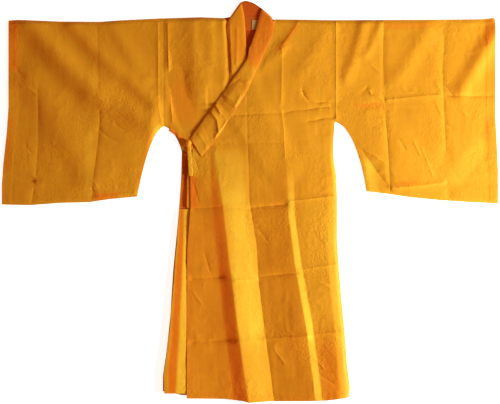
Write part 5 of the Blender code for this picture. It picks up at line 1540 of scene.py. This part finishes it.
class ROBE_OT_ties(bpy.types.Operator):
    """Ties the side at the armpit: the strand from the seam, its knot and the hanging end"""

    bl_idname = "robe.ties"
    bl_label = "Side Ties"

    def execute(self, context):
        colours = context.scene.robe_colours
        finish = cloth_material("tie cloth", tuple(colours.gold), tuple(colours.flank), None, tuple(colours.light),
                                slub=0.3)
        gap = CLOTH + LAYER_GAP
        strand = tape("side_tie_tape", SIDE_TIE, TIE_WIDTH, lambda x, y: right_front_height(x, y) + gap, finish,
                      twist=1.0)
        # Painted shade on the strand and the knot, and painted light on the hanging end
        set_painted_shade(strand, painted_shade_and_light=lambda x, y: np.full(np.shape(x), 0.6))
        end = tape("tie_end_tape", TIE_END, TIE_WIDTH * 1.15, lambda x, y: left_front_height(x, y) + gap, finish,
                   twist=0.1, pinch=0.85)
        set_painted_shade(end, painted_shade_and_light=lambda x, y: np.full(np.shape(x), -0.7))
        knot = self.add_knot(finish, gap)
        set_painted_shade(knot, painted_shade_and_light=lambda x, y: np.full(np.shape(x), 0.35))
        return {"FINISHED"}

    def add_knot(self, finish, gap):
        around, up = 40, 20
        rest = float(right_front_height(np.array(KNOT_CENTRE[0]), np.array(KNOT_CENTRE[1]))) + gap
        points, faces = [], []
        for ring in range(up + 1):
            polar = math.pi * ring / up
            for step in range(around):
                angle = 2 * math.pi * step / around
                direction = Vector((math.sin(polar) * math.cos(angle), math.sin(polar) * math.sin(angle), math.cos(polar)))
                wrap = math.sin(direction.x * 4.2 + direction.y * 2.6 + 0.6)
                groove = 1.0 - 0.2 * max(0.0, 1.0 - abs(wrap) * 3.0) - 0.08 * abs(math.sin(direction.y * 7.0))
                x, y, z = (value * radius * groove for value, radius in zip(direction, KNOT_RADII))
                points.append(((KNOT_CENTRE[0] + x) * CM, (KNOT_CENTRE[1] + y) * CM,
                               rest * MM + (KNOT_RADII[2] + z) * CM))
        for ring in range(up):
            for step in range(around):
                other = (step + 1) % around
                first, second = ring * around, (ring + 1) * around
                faces.append((first + step, second + step, second + other, first + other))
        faces.append(tuple(range(around)))
        faces.append(tuple(range(up * around, (up + 1) * around)))
        return add_piece("side_knot", points, faces, finish, ("tie_knot",))


class ROBE_OT_stage(bpy.types.Operator):
    """Adds the pale floor, the soft lights and the camera straight above"""

    bl_idname = "robe.stage"
    bl_label = "Stage"

    def execute(self, context):
        scene = context.scene
        studio = scene.robe_studio
        self.add_floor(scene, studio)
        self.add_light("key light", (3.2, -0.57, 0.98), 0.69, studio.key_power, (0.78, 1.0, 0.95))
        world = bpy.data.worlds.new("soft surroundings")
        world.use_nodes = True
        world.node_tree.nodes["Background"].inputs["Color"].default_value = (1.0, 0.5, 0.34, 1.0)
        world.node_tree.nodes["Background"].inputs["Strength"].default_value = studio.fill
        scene.world = world
        scene.view_settings.view_transform = "Standard"
        scene.view_settings.look = "None"
        lens = bpy.data.cameras.new("camera")
        lens.sensor_width = 36.0
        lens.lens = 84.9
        lens.clip_end = 50.0
        camera = bpy.data.objects.new("camera", lens)
        camera.location = (0.0, -0.002, 4.28)
        scene.collection.objects.link(camera)
        scene.camera = camera
        return {"FINISHED"}

    def add_floor(self, scene, studio):
        mesh = bpy.data.meshes.new("floor")
        reach = 12.0
        level = -0.0003
        mesh.from_pydata([(-reach, -reach, level), (reach, -reach, level), (reach, reach, level), (-reach, reach, level)],
                         [], [(0, 1, 2, 3)])
        finish = bpy.data.materials.new("pale floor")
        finish.use_nodes = True
        tree = finish.node_tree
        shader = tree.nodes["Principled BSDF"]
        grain = new_node(tree, "ShaderNodeTexNoise", inputs={"Scale": 40.0, "Detail": 4.0})
        ramp = new_node(tree, "ShaderNodeMapRange", inputs={"To Min": 0.8, "To Max": 0.9})
        tree.links.new(grain.outputs["Fac"], ramp.inputs["Value"])
        tree.links.new(ramp.outputs["Result"], shader.inputs["Roughness"])
        shader.inputs["Base Color"].default_value = (0.86, 0.86, 0.85, 1.0)
        shader.inputs["Emission Color"].default_value = (1.0, 1.0, 1.0, 1.0)
        shader.inputs["Emission Strength"].default_value = studio.floor_glow
        shader.inputs["Specular IOR Level"].default_value = 0.1
        mesh.materials.append(finish)
        floor = bpy.data.objects.new("floor", mesh)
        scene.collection.objects.link(floor)

    def add_light(self, name, place, size, power, colour):
        lamp = bpy.data.lights.new(name, "AREA")
        lamp.shape = "SQUARE"
        lamp.size = size
        lamp.energy = power
        lamp.color = colour
        holder = bpy.data.objects.new(name, lamp)
        holder.location = place
        holder.rotation_euler = (Vector((0.0, 0.0, 0.0)) - Vector(place)).to_track_quat("-Z", "Y").to_euler()
        bpy.context.scene.collection.objects.link(holder)


class VIEW3D_PT_robe(bpy.types.Panel):
    bl_label = "Robe"
    bl_idname = "VIEW3D_PT_robe"
    bl_space_type = "VIEW_3D"
    bl_region_type = "UI"
    bl_category = "Robe"

    def draw(self, context):
        scene = context.scene
        for group in (scene.robe_sizes, scene.robe_colours, scene.robe_studio):
            for name in group.__annotations__:
                self.layout.prop(group, name)
        for operator in OPERATORS:
            self.layout.operator(operator.bl_idname)


OPERATORS = (
    ROBE_OT_back, ROBE_OT_fronts, ROBE_OT_sleeves, ROBE_OT_collar, ROBE_OT_neck, ROBE_OT_side_pleat, ROBE_OT_ties,
    ROBE_OT_stage,
)
CLASSES = (RobeSizes, RobeColours, RobeStudio) + OPERATORS + (VIEW3D_PT_robe,)


def register():
    for made in CLASSES:
        bpy.utils.register_class(made)
    bpy.types.Scene.robe_sizes = bpy.props.PointerProperty(type=RobeSizes)
    bpy.types.Scene.robe_colours = bpy.props.PointerProperty(type=RobeColours)
    bpy.types.Scene.robe_studio = bpy.props.PointerProperty(type=RobeStudio)


def unregister():
    del bpy.types.Scene.robe_studio
    del bpy.types.Scene.robe_colours
    del bpy.types.Scene.robe_sizes
    for made in reversed(CLASSES):
        bpy.utils.unregister_class(made)


def main():
    register()
    bpy.ops.robe.back()
    bpy.ops.robe.fronts()
    bpy.ops.robe.sleeves()
    bpy.ops.robe.collar()
    bpy.ops.robe.neck()
    bpy.ops.robe.side_pleat()
    bpy.ops.robe.ties()
    bpy.ops.robe.stage()


if __name__ == "__main__":
    main()
